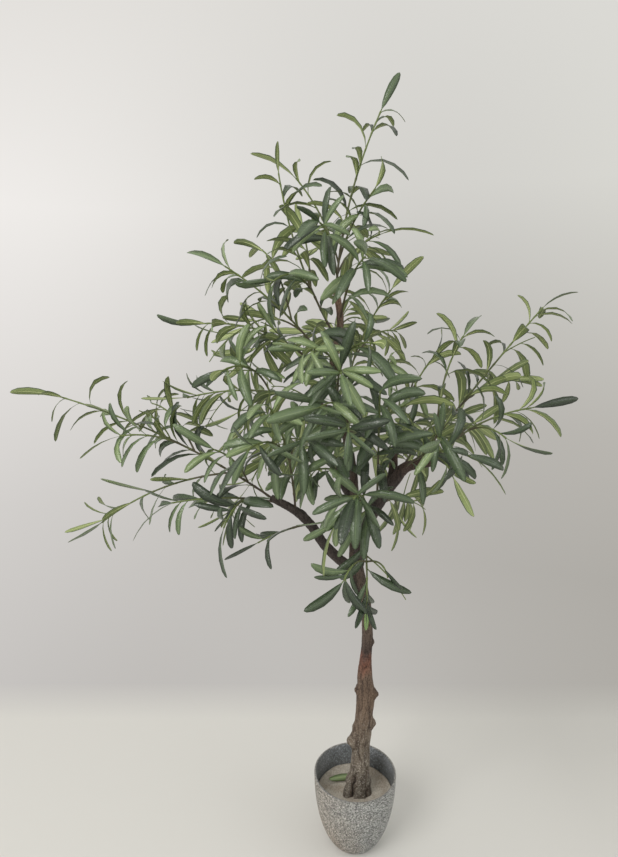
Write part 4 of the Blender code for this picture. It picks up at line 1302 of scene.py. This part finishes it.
# Twigs are younger the finer they are, from 0 for a stem to 1 at every tip.
SIDE_TWIG_AGE = 0.2
FINE_TWIG_AGE = (0.45, 0.4)     # at its parent's root, and how much more at the parent's tip
TWIG_YOUTH = 0.9                # tones by which the leaves of the finest twigs are fresher

# How full a mass is: share of its side leaves that stay, share of them that get a
# partner, and share of the places where a finer twig grows.
OPEN = (1.0, 0.3, 0.2)
AIRY = (0.9, 0.5, 0.3)
LEAFY = (1.0, 0.7, 0.6)
FULL = (1.0, 0.9, 0.9)
FULLNESS = {
    "crown_top": OPEN, "crown_top_left": OPEN, "crown_middle": AIRY, "upper_left": OPEN,
    "upper_left_low": FULL, "mid_left": FULL, "left_reach": AIRY, "left_low": AIRY,
    "left_under": AIRY, "left_inner": LEAFY, "middle_front": AIRY, "fork_front": AIRY,
    "centre_low_front": FULL, "centre_front": LEAFY, "centre_high_front": LEAFY,
    "right_inner": AIRY, "upper_right": OPEN, "right_mid": LEAFY, "right_high": AIRY,
    "right_arm": AIRY, "right_front": LEAFY, "right_back_low": FULL, "right_back": FULL,
    "back_left": LEAFY, "back_centre": FULL, "back_high": LEAFY,
}
FINER_SEED = 2                  # added to a mass's seed for the draws of its finer parts

# The leaf at the tip of these masses' stems is a short one: share of its length.
TIP_LEAF_SHARE = {"crown_top": 0.78, "crown_top_left": 0.62, "left_reach": 0.80, "fork_front": 0.46}
# The blades of these masses were turned to the front: share of the way.
FACED = {"fork_front": 0.9, "left_under": 0.7, "left_low": 0.5, "left_reach": 0.3}
print("full masses:", [name for name, setting in FULLNESS.items() if setting is FULL])

# %% [markdown]
# The rule itself is short: lay the twigs, deal leaves out along them, then fill the
# mass. Every chance number comes from a seeded source, in a fixed order, so that the
# crown is the same each time.

# %% Crown
class Crown(Room):
    """The rule that lays out twigs and deals out leaves."""

    def lay_twigs(self, name, limb, place, rows):
        """A mass's stem, and the side twigs that start on it."""
        (x, y, z, bow, _), *side_rows = rows
        root = self.limbs[limb].point_at(place)
        stem = Twig(root, Vector((x, y, z)), bow, TWIG_ROOT_RADIUS, TWIG_TIP_RADIUS)
        self.twigs[name] = [stem]
        self.leaves[name] = []
        for x, y, z, bow, share in side_rows:
            root = stem.at(share * stem.lengths[-1])[0]
            thick = TWIG_ROOT_RADIUS * SIDE_TWIG_SHARE
            self.twigs[name].append(Twig(root, Vector((x, y, z)), bow, thick, TWIG_TIP_RADIUS, SIDE_TWIG_AGE))

    def deal_leaves(self, name, chance):
        """Deal leaves out along every twig of a mass, root to tip."""
        for twig in self.twigs[name]:
            whole = twig.lengths[-1]
            distance = BARE_ROOT + chance.uniform(0, LEAF_GAP)
            turn = chance.uniform(0, 2 * math.pi)
            self.try_leaf(name, twig, whole - TWIG_TIP_RADIUS, turn, "last", chance)
            while distance < whole - LEAF_TIP_GAP / 2:
                near_tip = whole - distance < LEAF_TIP_STRETCH
                self.try_leaf(name, twig, distance, turn, "near tip" if near_tip else "side", chance)
                gap = LEAF_TIP_GAP if near_tip else LEAF_GAP
                distance += gap * (1 + chance.uniform(-1, 1) * LEAF_GAP_SCATTER)
                turn += LEAF_TURN

    def try_leaf(self, name, twig, distance, turn, kind, chance, fine=False):
        """Add a leaf at a place on a twig, if one of a few tries is free."""
        base, along, _ = twig.at(distance)
        sideways = along.orthogonal().normalized()
        other = along.cross(sideways)
        for _ in range(FINE_TRIES if fine else LEAF_TRIES):
            angle = turn + chance.uniform(-1, 1) * LEAF_TURN_SCATTER
            outwards = sideways * math.cos(angle) + other * math.sin(angle)
            lean = chance.uniform(*(TIP_LEAN if kind == "last" else LEAF_LEAN))
            bend = chance.uniform(*(TIP_BEND if kind == "last" else LEAF_BEND))
            droop = chance.uniform(*(TIP_DROOP if kind == "last" else LEAF_DROOP))
            length = chance.uniform(*(FINE_LENGTH if fine else LEAF_LENGTH))
            length *= LEAF_TIP_SHARE if kind == "near tip" else 1.0
            leaf = Leaf(base, along, outwards, lean, bend, droop, length)
            if (not fine or self.is_within(name, leaf.spine[-1])) and self.is_free(leaf, name, twig):
                leaf.twig, leaf.distance, leaf.turn, leaf.kind = twig, distance, angle, kind
                leaf.youth = distance / twig.lengths[-1] + TWIG_YOUTH * twig.age
                self.leaves[name].append(leaf)
                twig.leaf_places.append(distance)
                return
            turn += LEAF_NEXT_TRY

    def fill_mass(self, name, kept, partners, twigs, chance):
        """Thin a mass out, then add partners across the twigs, and finer twigs."""
        for leaf in list(self.leaves[name]):
            if leaf.kind == "side" and chance.random() > kept:
                self.leaves[name].remove(leaf)
                self.laid.remove(leaf.solid)
        for leaf in list(self.leaves[name]):
            if chance.random() < (partners if leaf.kind == "side" else TIP_PARTNERS):
                distance = leaf.distance - chance.random() * PARTNER_OFFSET
                kind = "side" if leaf.kind == "side" else "near tip"
                self.try_leaf(name, leaf.twig, distance, leaf.turn + math.pi, kind, chance, True)
        for parent in list(self.twigs[name]):
            distance = FINE_TWIG_START + chance.uniform(0, FINE_TWIG_START_SCATTER)
            turn = chance.uniform(0, 2 * math.pi)
            while distance < parent.lengths[-1] - FINE_TWIG_END:
                if chance.random() < twigs:
                    self.try_fine_twig(name, parent, distance, turn, chance)
                distance += FINE_TWIG_GAP * chance.uniform(*FINE_TWIG_GAP_SCATTER)
                turn += LEAF_TURN

    def try_fine_twig(self, name, parent, distance, turn, chance):
        """Add a fine twig with its leaves, if one of a few tries is free."""
        base, along, radius = parent.at(distance)
        sideways = along.orthogonal().normalized()
        other = along.cross(sideways)
        for _ in range(FINE_TWIG_TRIES):
            outwards = sideways * math.cos(turn) + other * math.sin(turn)
            lean = chance.uniform(*FINE_TWIG_LEAN)
            length = chance.uniform(*FINE_TWIG_LENGTH)
            tip = base + (along * math.cos(lean) + outwards * math.sin(lean)) * length
            turn += LEAF_NEXT_TRY
            if not self.is_within(name, tip) or not self.keeps_space(name, tip):
                continue
            age = FINE_TWIG_AGE[0] + FINE_TWIG_AGE[1] * distance / parent.lengths[-1]
            bow = chance.uniform(*FINE_TWIG_BOW)
            twig = Twig(base, tip, bow, radius * FINE_TWIG_THINNER, FINE_TIP_RADIUS, age)
            if self.is_clear(twig, parent):
                self.twigs[name].append(twig)
                self.deal_pairs(name, twig, chance)
                return

    def deal_pairs(self, name, twig, chance):
        """Leaves in pairs along a fine twig, each pair turned across the last."""
        whole = twig.lengths[-1]
        turn = chance.uniform(0, 2 * math.pi)
        distance = FINE_TWIG_BARE + chance.uniform(0, FINE_TWIG_BARE_SCATTER)
        self.try_leaf(name, twig, whole - FINE_TIP_RADIUS, turn, "last", chance, True)
        while distance < whole - LEAF_TIP_GAP / 2:
            kind = "near tip" if whole - distance < LEAF_TIP_STRETCH else "side"
            for side in (0, math.pi):
                place = distance + chance.uniform(0, 1) * PARTNER_OFFSET
                self.try_leaf(name, twig, place, turn + side, kind, chance, True)
            distance += FINE_GAP * (1 + chance.uniform(-1, 1) * LEAF_GAP_SCATTER)
            turn += math.pi / 2


# %% [markdown]
# Now the crown grows. The solids' own twigs and leaves come first, in the table's
# order, because each leaf has to keep clear of those before it. Then each mass is
# thinned out and filled with its partners and finer twigs in its turn.

# %% Grow the crown
crown = Crown(limbs)
for name, limb, place, _, rows in MASSES:
    crown.lay_twigs(name, limb, place, rows)
crown.measure_space()
for name, _, _, seed, _ in MASSES:
    crown.deal_leaves(name, random.Random(seed))
print("leaves that the solids have:", sum(len(group) for group in crown.leaves.values()))

for name, share in TIP_LEAF_SHARE.items():
    crown.leaves[name][0].length *= share
crown.leaves["fork_front"][0].is_young = True
# The top leaf shows its upper face to the front.
top_leaf = crown.leaves["crown_top"][0]
top_leaf.outwards = Vector((0, 1, 0)) - top_leaf.along * top_leaf.along.y
top_leaf.twist = 0.0

for name, _, _, seed, _ in MASSES:
    crown.fill_mass(name, *FULLNESS[name], random.Random(seed + FINER_SEED))
    for leaf in crown.leaves[name]:
        leaf.faced = FACED.get(name, 0.0)
print("leaves with the finer ones:", sum(len(group) for group in crown.leaves.values()))
print("twigs:", sum(len(group) for group in crown.twigs.values()))

# %% [markdown]
# ## One blade, bent many times
# A real leaf here is a thin pressed blade: a short stalk, an even width and a blunt
# tip. Its upper face is plain but for a fine rib. Its lower face is paler, with a light
# rib and a dark margin. A grid rolled flat round the middle line holds all that: three
# of its eight strips are the upper face, and the other five are the lower one.
#
# The blade is made once. Every leaf then bends a copy of its corners along its own
# line, with its own width, twist and fold, and all leaves of a mass become one mesh.

# %% Blade template
# Share of the length and of the half width at each cross-section.
OUTLINE = [
    (0.0, 0.0), (0.07, 0.13), (0.21, 0.54), (0.41, 0.88),
    (0.62, 1.0), (0.83, 0.84), (0.95, 0.44), (1.0, 0.0),
]
# Round the blade: edge, rib, rib, edge above, then middle, rib, rib, middle below.
SEAT_SIDE = (1, 0, 0, -1, -0.80, 0, 0, 0.80)            # share of the half width past the rib
SEAT_RIB = (1, 1, -1, -1, -1, -1, 1, 1)                 # which side of the rib
SEATS = len(SEAT_SIDE)
SPANS = len(OUTLINE) - 1
UPPER, RIB, MARGIN, LOWER, LOWER_RIB, STALK = range(6)
SMOOTH_ROLES = (UPPER, LOWER, STALK)     # the ribs and the edges stay crisp
ROLE_OF_SEATS = (UPPER, RIB, UPPER, MARGIN, LOWER, LOWER_RIB, LOWER, MARGIN)


def blade_template():
    """Station and seat of each corner, and the faces with what each one shows."""
    shape = bmesh.new()
    bmesh.ops.create_grid(shape, x_segments=SEATS, y_segments=SPANS, size=0.5)
    keys = shape.verts.layers.int.new("key")
    for corner in shape.verts:
        seat = round((corner.co.x + 0.5) * SEATS) % SEATS
        station = round((corner.co.y + 0.5) * SPANS)
        corner[keys] = station * SEATS + seat
        turn = 2 * math.pi * seat / SEATS
        width = 0 if station == SPANS else 1
        corner.co = (station, width * math.cos(turn), width * math.sin(turn))
    bmesh.ops.remove_doubles(shape, verts=shape.verts, dist=1e-4)
    bmesh.ops.holes_fill(shape, edges=[edge for edge in shape.edges if edge.is_boundary], sides=0)
    bmesh.ops.recalc_face_normals(shape, faces=shape.faces)
    shape.verts.index_update()
    corner_keys = [corner[keys] for corner in shape.verts]
    faces = [[corner.index for corner in face.verts] for face in shape.faces]
    roles = []
    for face in shape.faces:
        stations = {corner[keys] // SEATS for corner in face.verts}
        seats = {corner[keys] % SEATS for corner in face.verts if corner[keys] // SEATS < SPANS}
        if stations <= {0, 1}:
            roles.append(STALK)
        else:
            roles.append(ROLE_OF_SEATS[SEATS - 1 if seats == {0, SEATS - 1} else min(seats)])
    shape.free()
    return np.array(corner_keys), faces, roles


blade_keys, blade_faces, blade_roles = blade_template()
print("a blade has", len(blade_faces), "faces and", len(blade_keys), "corners")

# %% [markdown]
# Real leaves here differ in tone from spray to spray, and hardly within a leaf. So
# each tone is a finish with one plain colour, and every face of a leaf is given one of
# them. Only the relief is drawn: side veins that slant forward from the rib, read from
# a flat map of the blade, and a faint mottle.

# %% Leaf finishes
VEINS = 13                      # side veins along a blade
VEIN_SLANT = 0.10               # how far they run forward to its edge, of its length
VEIN_SHARE = 0.05               # of the relief, beside the mottle
UPPER_PAINTS = [                # from deep to fresh
    (48, 61, 43), (61, 77, 53), (77, 95, 65), (97, 116, 79), (120, 139, 94), (146, 164, 112)]
LOWER_PAINTS = [(108, 122, 74), (124, 139, 83), (142, 156, 98)]
OTHER_PAINTS = {
    "leaf_lower_rib": (186, 196, 136), "leaf_margin": (74, 88, 56),
    "leaf_stalk": (112, 130, 74), "leaf_young": (134, 164, 96),
}


def leaf_finish(name, colour, roughness):
    """A plain colour under the slanting side veins of a pressed leaf."""
    finish = Finish(name, paint(*colour), roughness)
    flat = finish.node("UVMap", uv_map="blade").outputs["UV"]
    split = finish.node("SeparateXYZ", flat).outputs
    slant = finish.sum(finish.sum(split["Y"], 0.0, "ABSOLUTE"), VEIN_SLANT, "MULTIPLY")
    bent = finish.sum(finish.sum(split["X"], slant, "SUBTRACT"), 2 * math.pi * VEINS, "MULTIPLY")
    veins = finish.sum(bent, 0.0, "SINE")
    mottle = finish.noise(240, 3.0, 0.6)
    relief = finish.sum(finish.sum(veins, VEIN_SHARE, "MULTIPLY"), mottle)
    rough = finish.between(mottle, 0.3, 0.7, roughness - 0.08, roughness + 0.10)
    finish.shader.inputs["IOR"].default_value = 1.65
    return finish.coat(None, rough, relief, 0.0008)


leaf_finishes = [leaf_finish(f"leaf_upper_{k}", colour, 0.32) for k, colour in enumerate(UPPER_PAINTS)]
leaf_finishes += [leaf_finish(f"leaf_lower_{k}", colour, 0.58) for k, colour in enumerate(LOWER_PAINTS)]
leaf_finishes += [leaf_finish(name, colour, 0.52) for name, colour in OTHER_PAINTS.items()]
FIRST_LOWER = len(UPPER_PAINTS)
FIRST_OTHER = FIRST_LOWER + len(LOWER_PAINTS)
LOWER_RIB_SLOT, MARGIN_SLOT, STALK_SLOT, YOUNG_SLOT = range(FIRST_OTHER, len(leaf_finishes))
print("leaf finishes:", len(leaf_finishes))

# %% [markdown]
# To bend thousands of leaves corner by corner would be slow, so all leaves of a mass
# are bent at once, as arrays. First comes each leaf's middle line, with the side and
# the face of the blade at each cross-section.

# %% Middle lines
ARCH_LESS_LEAN = math.radians(6)
ARCH_BEND = (0.9, math.radians(18))     # a thin blade arches more than the solid that stands for it
ARCH_DROOP = 0.18
LINE_STEPS = 24                 # of each middle line
PLACES, WIDTHS = np.array(OUTLINE).T


def leaf_rows(leaves, key):
    return np.array([getattr(leaf, key) for leaf in leaves], float)[:, None]


def normalised(vectors):
    return vectors / np.linalg.norm(vectors, axis=2, keepdims=True)


def middle_lines(leaves, length):
    """Point, side and face of every blade at each cross-section, before any twist."""
    along, outwards = leaf_rows(leaves, "along"), leaf_rows(leaves, "outwards")
    lean, bend, droop = (leaf_rows(leaves, key) for key in ("lean", "bend", "droop"))
    step = (np.arange(LINE_STEPS) + 0.5)[None] / LINE_STEPS
    angle = (lean - ARCH_LESS_LEAN + (bend * ARCH_BEND[0] + ARCH_BEND[1]) * step)[..., None]
    heading = along * np.cos(angle) + outwards * np.sin(angle)
    heading[..., 2] -= (droop + ARCH_DROOP) * step
    heading = normalised(heading)
    line = np.concatenate([np.zeros((len(leaves), 1, 3)), np.cumsum(heading, axis=1)], axis=1)
    line = leaf_rows(leaves, "base") + line * (length / LINE_STEPS)[..., None]
    at = np.round(PLACES * LINE_STEPS).astype(int)
    forward = heading[:, np.minimum(at, LINE_STEPS - 1)]
    side = np.cross(along, outwards)
    side = normalised(side - forward * np.sum(side * forward, axis=2, keepdims=True))
    return line[:, at], side, np.cross(forward, side)


plain_line = middle_lines([plain_leaf], leaf_rows([plain_leaf], "length"))[0][0]
print("an upright leaf's tip in mm, outwards and up:", np.round(plain_line[-1, [0, 2]] * 1000))

# %% [markdown]
# Then follow a twist, a sideways curl, a fold along the rib and a ripple of the edges,
# each with a chance share of its own. In a few masses the blades were turned to show
# their upper face.

# %% Bend the blades
BLADE_STRETCH = 1.12            # a leaf's length along its arch, of the solid's
BLADE_WIDTH = (0.152, 0.202)    # of its length
BLADE_TWIST = math.radians(46)
TWIST_AT_STALK = 0.35           # share of the twist that the stalk has already
BLADE_CURL = 0.05               # sideways bow, of its length
BLADE_FOLD = (-0.10, 0.42)      # rise of the edges over the rib, of the half width
RIPPLE_HEIGHT = (0.0, 0.07)     # waves of the edges, of the half width
RIPPLE_SPEED = (9, 15)          # radians that the waves run through along the blade
RIPPLE_START = (0, 6)
RIB_HALF = 0.0009
RIB_TAPER = 1.25                # the rib's half width goes from this share of it to a quarter
RIB_LIMIT = 0.4                 # of the blade's half width
STALK_HALF = 0.0009
STALK_SHARE = 0.9               # of the length where no cross-section is narrower than the stalk
BLADE_THICK = 0.0006
TO_FRONT = (-0.15, -1.0, 0.45)  # where the blades that were turned show their upper face
FRONT_AT = 3                    # the cross-section that faces there


def bend_blades(leaves, chance):
    """Corners of every leaf, as an array of leaf by corner by axis."""
    def spread(low, high):
        return np.array([chance.uniform(low, high) for _ in leaves])[:, None]

    length = leaf_rows(leaves, "length") * BLADE_STRETCH
    middle, side, face = middle_lines(leaves, length)
    sideways = (side[:, FRONT_AT] * np.array(TO_FRONT)).sum(axis=1)
    ahead = (face[:, FRONT_AT] * np.array(TO_FRONT)).sum(axis=1)
    to_front = np.arctan2(-sideways, ahead)[:, None]
    twist = spread(-1, 1) * leaf_rows(leaves, "twist") * BLADE_TWIST
    twist = twist * (TWIST_AT_STALK + (1 - TWIST_AT_STALK) * PLACES[None])
    twist = (twist + leaf_rows(leaves, "faced") * to_front)[..., None]
    side, face = side * np.cos(twist) + face * np.sin(twist), face * np.cos(twist) - side * np.sin(twist)
    middle = middle + side * (spread(-1, 1) * BLADE_CURL * length * PLACES[None] ** 2)[..., None]
    half = spread(*BLADE_WIDTH) * length / 2 * WIDTHS[None]
    half = np.maximum(half, STALK_HALF * (PLACES < STALK_SHARE)[None])
    rib = np.minimum(RIB_HALF * (RIB_TAPER - PLACES)[None], half * RIB_LIMIT)
    ripple = spread(*RIPPLE_HEIGHT) * np.sin(PLACES[None] * spread(*RIPPLE_SPEED) + spread(*RIPPLE_START))
    rise = half * (spread(*BLADE_FOLD) + ripple)

    station, seat = blade_keys // SEATS, blade_keys % SEATS
    share = np.array(SEAT_SIDE)[seat][None]
    across = rib[:, station] * np.array(SEAT_RIB)[seat][None] + share * (half - rib)[:, station]
    above = rise[:, station] * np.abs(share) - BLADE_THICK * (seat >= SEATS // 2)[None]
    before_tip = (station < SPANS)[None]
    across, above = across * before_tip, above * before_tip
    return middle[:, station] + side[:, station] * across[..., None] + face[:, station] * above[..., None]


print("corners of one bent blade:", bend_blades([plain_leaf], random.Random(0)).shape[1])

# %% [markdown]
# Leaves that grow close together on a twig share a tone, which is fresher towards the
# tips. The sprays on the right are deeper, as painted shade on the side away from the
# big lamp, and the blades that were turned to the front are deeper too. A flat map of
# the blade goes with every leaf, for its veins.

# %% Deal out the tones
SPRAY_LENGTH = 0.08             # of a twig whose leaves share a tone
SPRAY_TONES = (0.1, 2.9)
# Painted shade: the sprays on the right, away from the big lamp, are given deeper tones.
PAINTED_SHADE_RIGHT = 0.8              # tones by which the sprays on the right are deeper
PAINTED_SHADE_RIGHT_FROM = 0.15        # metres to the right where that is reached
DEEPER_FACED = 1.4              # tones by which the blades that were turned to the front are deeper
TONE_SCATTER = 0.9
LOWER_TONE_SCATTER = 0.6
LOOKS_SEED = 2000               # added to a mass's seed for the draws of its blades and tones


def spray_tone(leaf, chance):
    # Painted shade: deeper tones for sprays to the right.
    right_side_painted_shade = PAINTED_SHADE_RIGHT * max(0.0, min(1.0, leaf.base.x / PAINTED_SHADE_RIGHT_FROM))
    return chance.uniform(*SPRAY_TONES) - (right_side_painted_shade + DEEPER_FACED * leaf.faced)


def blade_slots(leaf, tone_of_spray, chance):
    """The finish of each face: fresher towards the tips of young twigs."""
    freshest = len(UPPER_PAINTS) - 2        # the rib is one tone fresher than the face
    tone = max(0, min(freshest, round(tone_of_spray + leaf.youth + chance.gauss(0, TONE_SCATTER))))
    lower = round(tone / 2 + chance.gauss(0, LOWER_TONE_SCATTER))
    slot_of_role = {
        UPPER: YOUNG_SLOT if leaf.is_young else tone,
        RIB: tone + 1,
        MARGIN: MARGIN_SLOT,
        LOWER: FIRST_LOWER + max(0, min(len(LOWER_PAINTS) - 1, lower)),
        LOWER_RIB: LOWER_RIB_SLOT,
        STALK: STALK_SLOT,
    }
    return [slot_of_role[role] for role in blade_roles]


def leaves_mesh(name, leaves, chance):
    """All blades of a mass as one mesh, with a flat map for their veins."""
    corners = bend_blades(leaves, chance).reshape(-1, 3)
    faces = []
    slots = []
    spray_tones = {}
    for k, leaf in enumerate(leaves):
        first = k * len(blade_keys)
        faces += [[first + corner for corner in face] for face in blade_faces]
        spray = (leaf.twig, round(leaf.distance / SPRAY_LENGTH))
        if spray not in spray_tones:
            spray_tones[spray] = spray_tone(leaf, chance)
        slots += blade_slots(leaf, spray_tones[spray], chance)
    mesh = bpy.data.meshes.new(name)
    mesh.from_pydata(corners.tolist(), [], faces)
    for finish in leaf_finishes:
        mesh.materials.append(finish)
    mesh.polygons.foreach_set("material_index", slots)
    mesh.polygons.foreach_set("use_smooth", [role in SMOOTH_ROLES for role in blade_roles] * len(leaves))
    station, seat = blade_keys // SEATS, blade_keys % SEATS
    flat = np.stack([np.array(OUTLINE)[station, 0], np.array(SEAT_SIDE)[seat] * (station < SPANS)], axis=1)
    order = [corner for face in blade_faces for corner in face]
    mesh.uv_layers.new(name="blade").data.foreach_set("uv", np.tile(flat[order], (len(leaves), 1)).ravel())
    mesh.update()
    return mesh


print("tones of the upper faces:", len(UPPER_PAINTS))

# %% [markdown]
# ## Twigs
# The twigs are round plastic stalks, brown where they leave the limb and green
# towards the tip, with a small collar under every leaf. A bevelled curve is the plain
# way to such a stalk: each point carries its own radius, so the taper and the collars
# are only numbers. The curve is then turned into a mesh, and its faces take their
# finish by how young the twig is there.

# %% Twig meshes
TWIG_POINT_GAP = 0.004
TWIG_THINNER = 0.86             # of the solid's radius
COLLAR_RISE = 0.32
COLLAR_LENGTH = 0.0022
GREEN_FROM = 1.25               # above 1 the youngest finish starts before the tip
TWIG_PAINTS = [(72, 61, 50), (80, 76, 54), (90, 98, 58), (106, 120, 68)]


def twig_finish(name, colour):
    finish = Finish(name, paint(*colour), 0.55)
    grain = finish.noise(600, 3.0)
    return finish.coat(None, finish.between(grain, 0.3, 0.7, 0.45, 0.68), grain, 0.0003)


twig_finishes = [twig_finish(f"twig_{k}", colour) for k, colour in enumerate(TWIG_PAINTS)]


def twigs_curve(name, twigs):
    """A bevelled curve through all twigs, and how young they are at each of its points."""
    curve = bpy.data.curves.new(name, "CURVE")
    curve.dimensions = "3D"
    curve.bevel_depth = 1.0
    curve.bevel_resolution = 2
    curve.use_fill_caps = True
    samples = []
    for twig in twigs:
        whole = twig.lengths[-1]
        count = max(4, round(whole / TWIG_POINT_GAP))
        spline = curve.splines.new("POLY")
        spline.points.add(count)
        for k, point in enumerate(spline.points):
            t = k / count
            place = twig.curve(t)
            radius = (twig.radii[0] + (twig.radii[-1] - twig.radii[0]) * t) * TWIG_THINNER
            collar = sum(math.exp(-((t * whole - spot) / COLLAR_LENGTH) ** 2) for spot in twig.leaf_places)
            point.co = (*place, 1)
            point.radius = radius * (1 + COLLAR_RISE * min(1.0, collar))
            samples.append((place, twig.age + (1 - twig.age) * t))
    return curve, samples


def twigs_mesh(name, twigs):
    curve, samples = twigs_curve(name, twigs)
    tubes = bpy.data.objects.new(name, curve)
    bpy.context.scene.collection.objects.link(tubes)
    mesh = bpy.data.meshes.new_from_object(tubes.evaluated_get(bpy.context.evaluated_depsgraph_get()))
    bpy.data.objects.remove(tubes, do_unlink=True)
    near = point_tree([place for place, _ in samples])
    mesh.materials.clear()
    for finish in twig_finishes:
        mesh.materials.append(finish)
    last = len(twig_finishes) - 1
    for polygon in mesh.polygons:
        youth = samples[near.find(polygon.center)[1]][1]
        polygon.material_index = max(0, min(last, round(youth * GREEN_FROM * last)))
        polygon.use_smooth = True
    return mesh


for name, _, _, seed, _ in MASSES:
    chance = random.Random(seed + LOOKS_SEED)
    show_piece(name + "_leaves", leaves_mesh(name + "_leaves", crown.leaves[name], chance), "foliage", name)
    show_piece(name + "_twigs", twigs_mesh(name + "_twigs", crown.twigs[name]), "foliage")

# %% [markdown]
# ## A loose leaf
# One leaf has dropped off and lies on the cement behind the trunk. It is the same
# blade, laid along a line between two places on the filler. Its bend takes back the
# arch that hanging leaves have, so that it lies almost flat.

# %% Fallen leaf
FALLEN_FROM = (0.024, 0.036)
FALLEN_TO = (-0.046, 0.028)
FALLEN_RISE = 0.0046            # of its middle line over the cement
FALLEN_LEAN = math.radians(-3)
FALLEN_BEND = math.radians(-6)
FALLEN_YOUTH = 2.8
FALLEN_FACED = 0.5
FALLEN_SEED = 5

ends = [Vector((x, y, 0)) for x, y in (FALLEN_FROM, FALLEN_TO)]
for end in ends:
    end.z = filler_height(end) + FALLEN_RISE
lie = ends[1] - ends[0]
down = Vector((0, 0, -1))
fallen = Leaf(ends[0], lie.normalized(), down, FALLEN_LEAN, FALLEN_BEND, -ARCH_DROOP, lie.length)
fallen.youth = FALLEN_YOUTH
fallen.faced = FALLEN_FACED
show_piece("fallen_leaf", leaves_mesh("fallen_leaf", [fallen], random.Random(FALLEN_SEED)), "foliage")

# %% [markdown]
# The dressed tree may not be larger than the packed one.
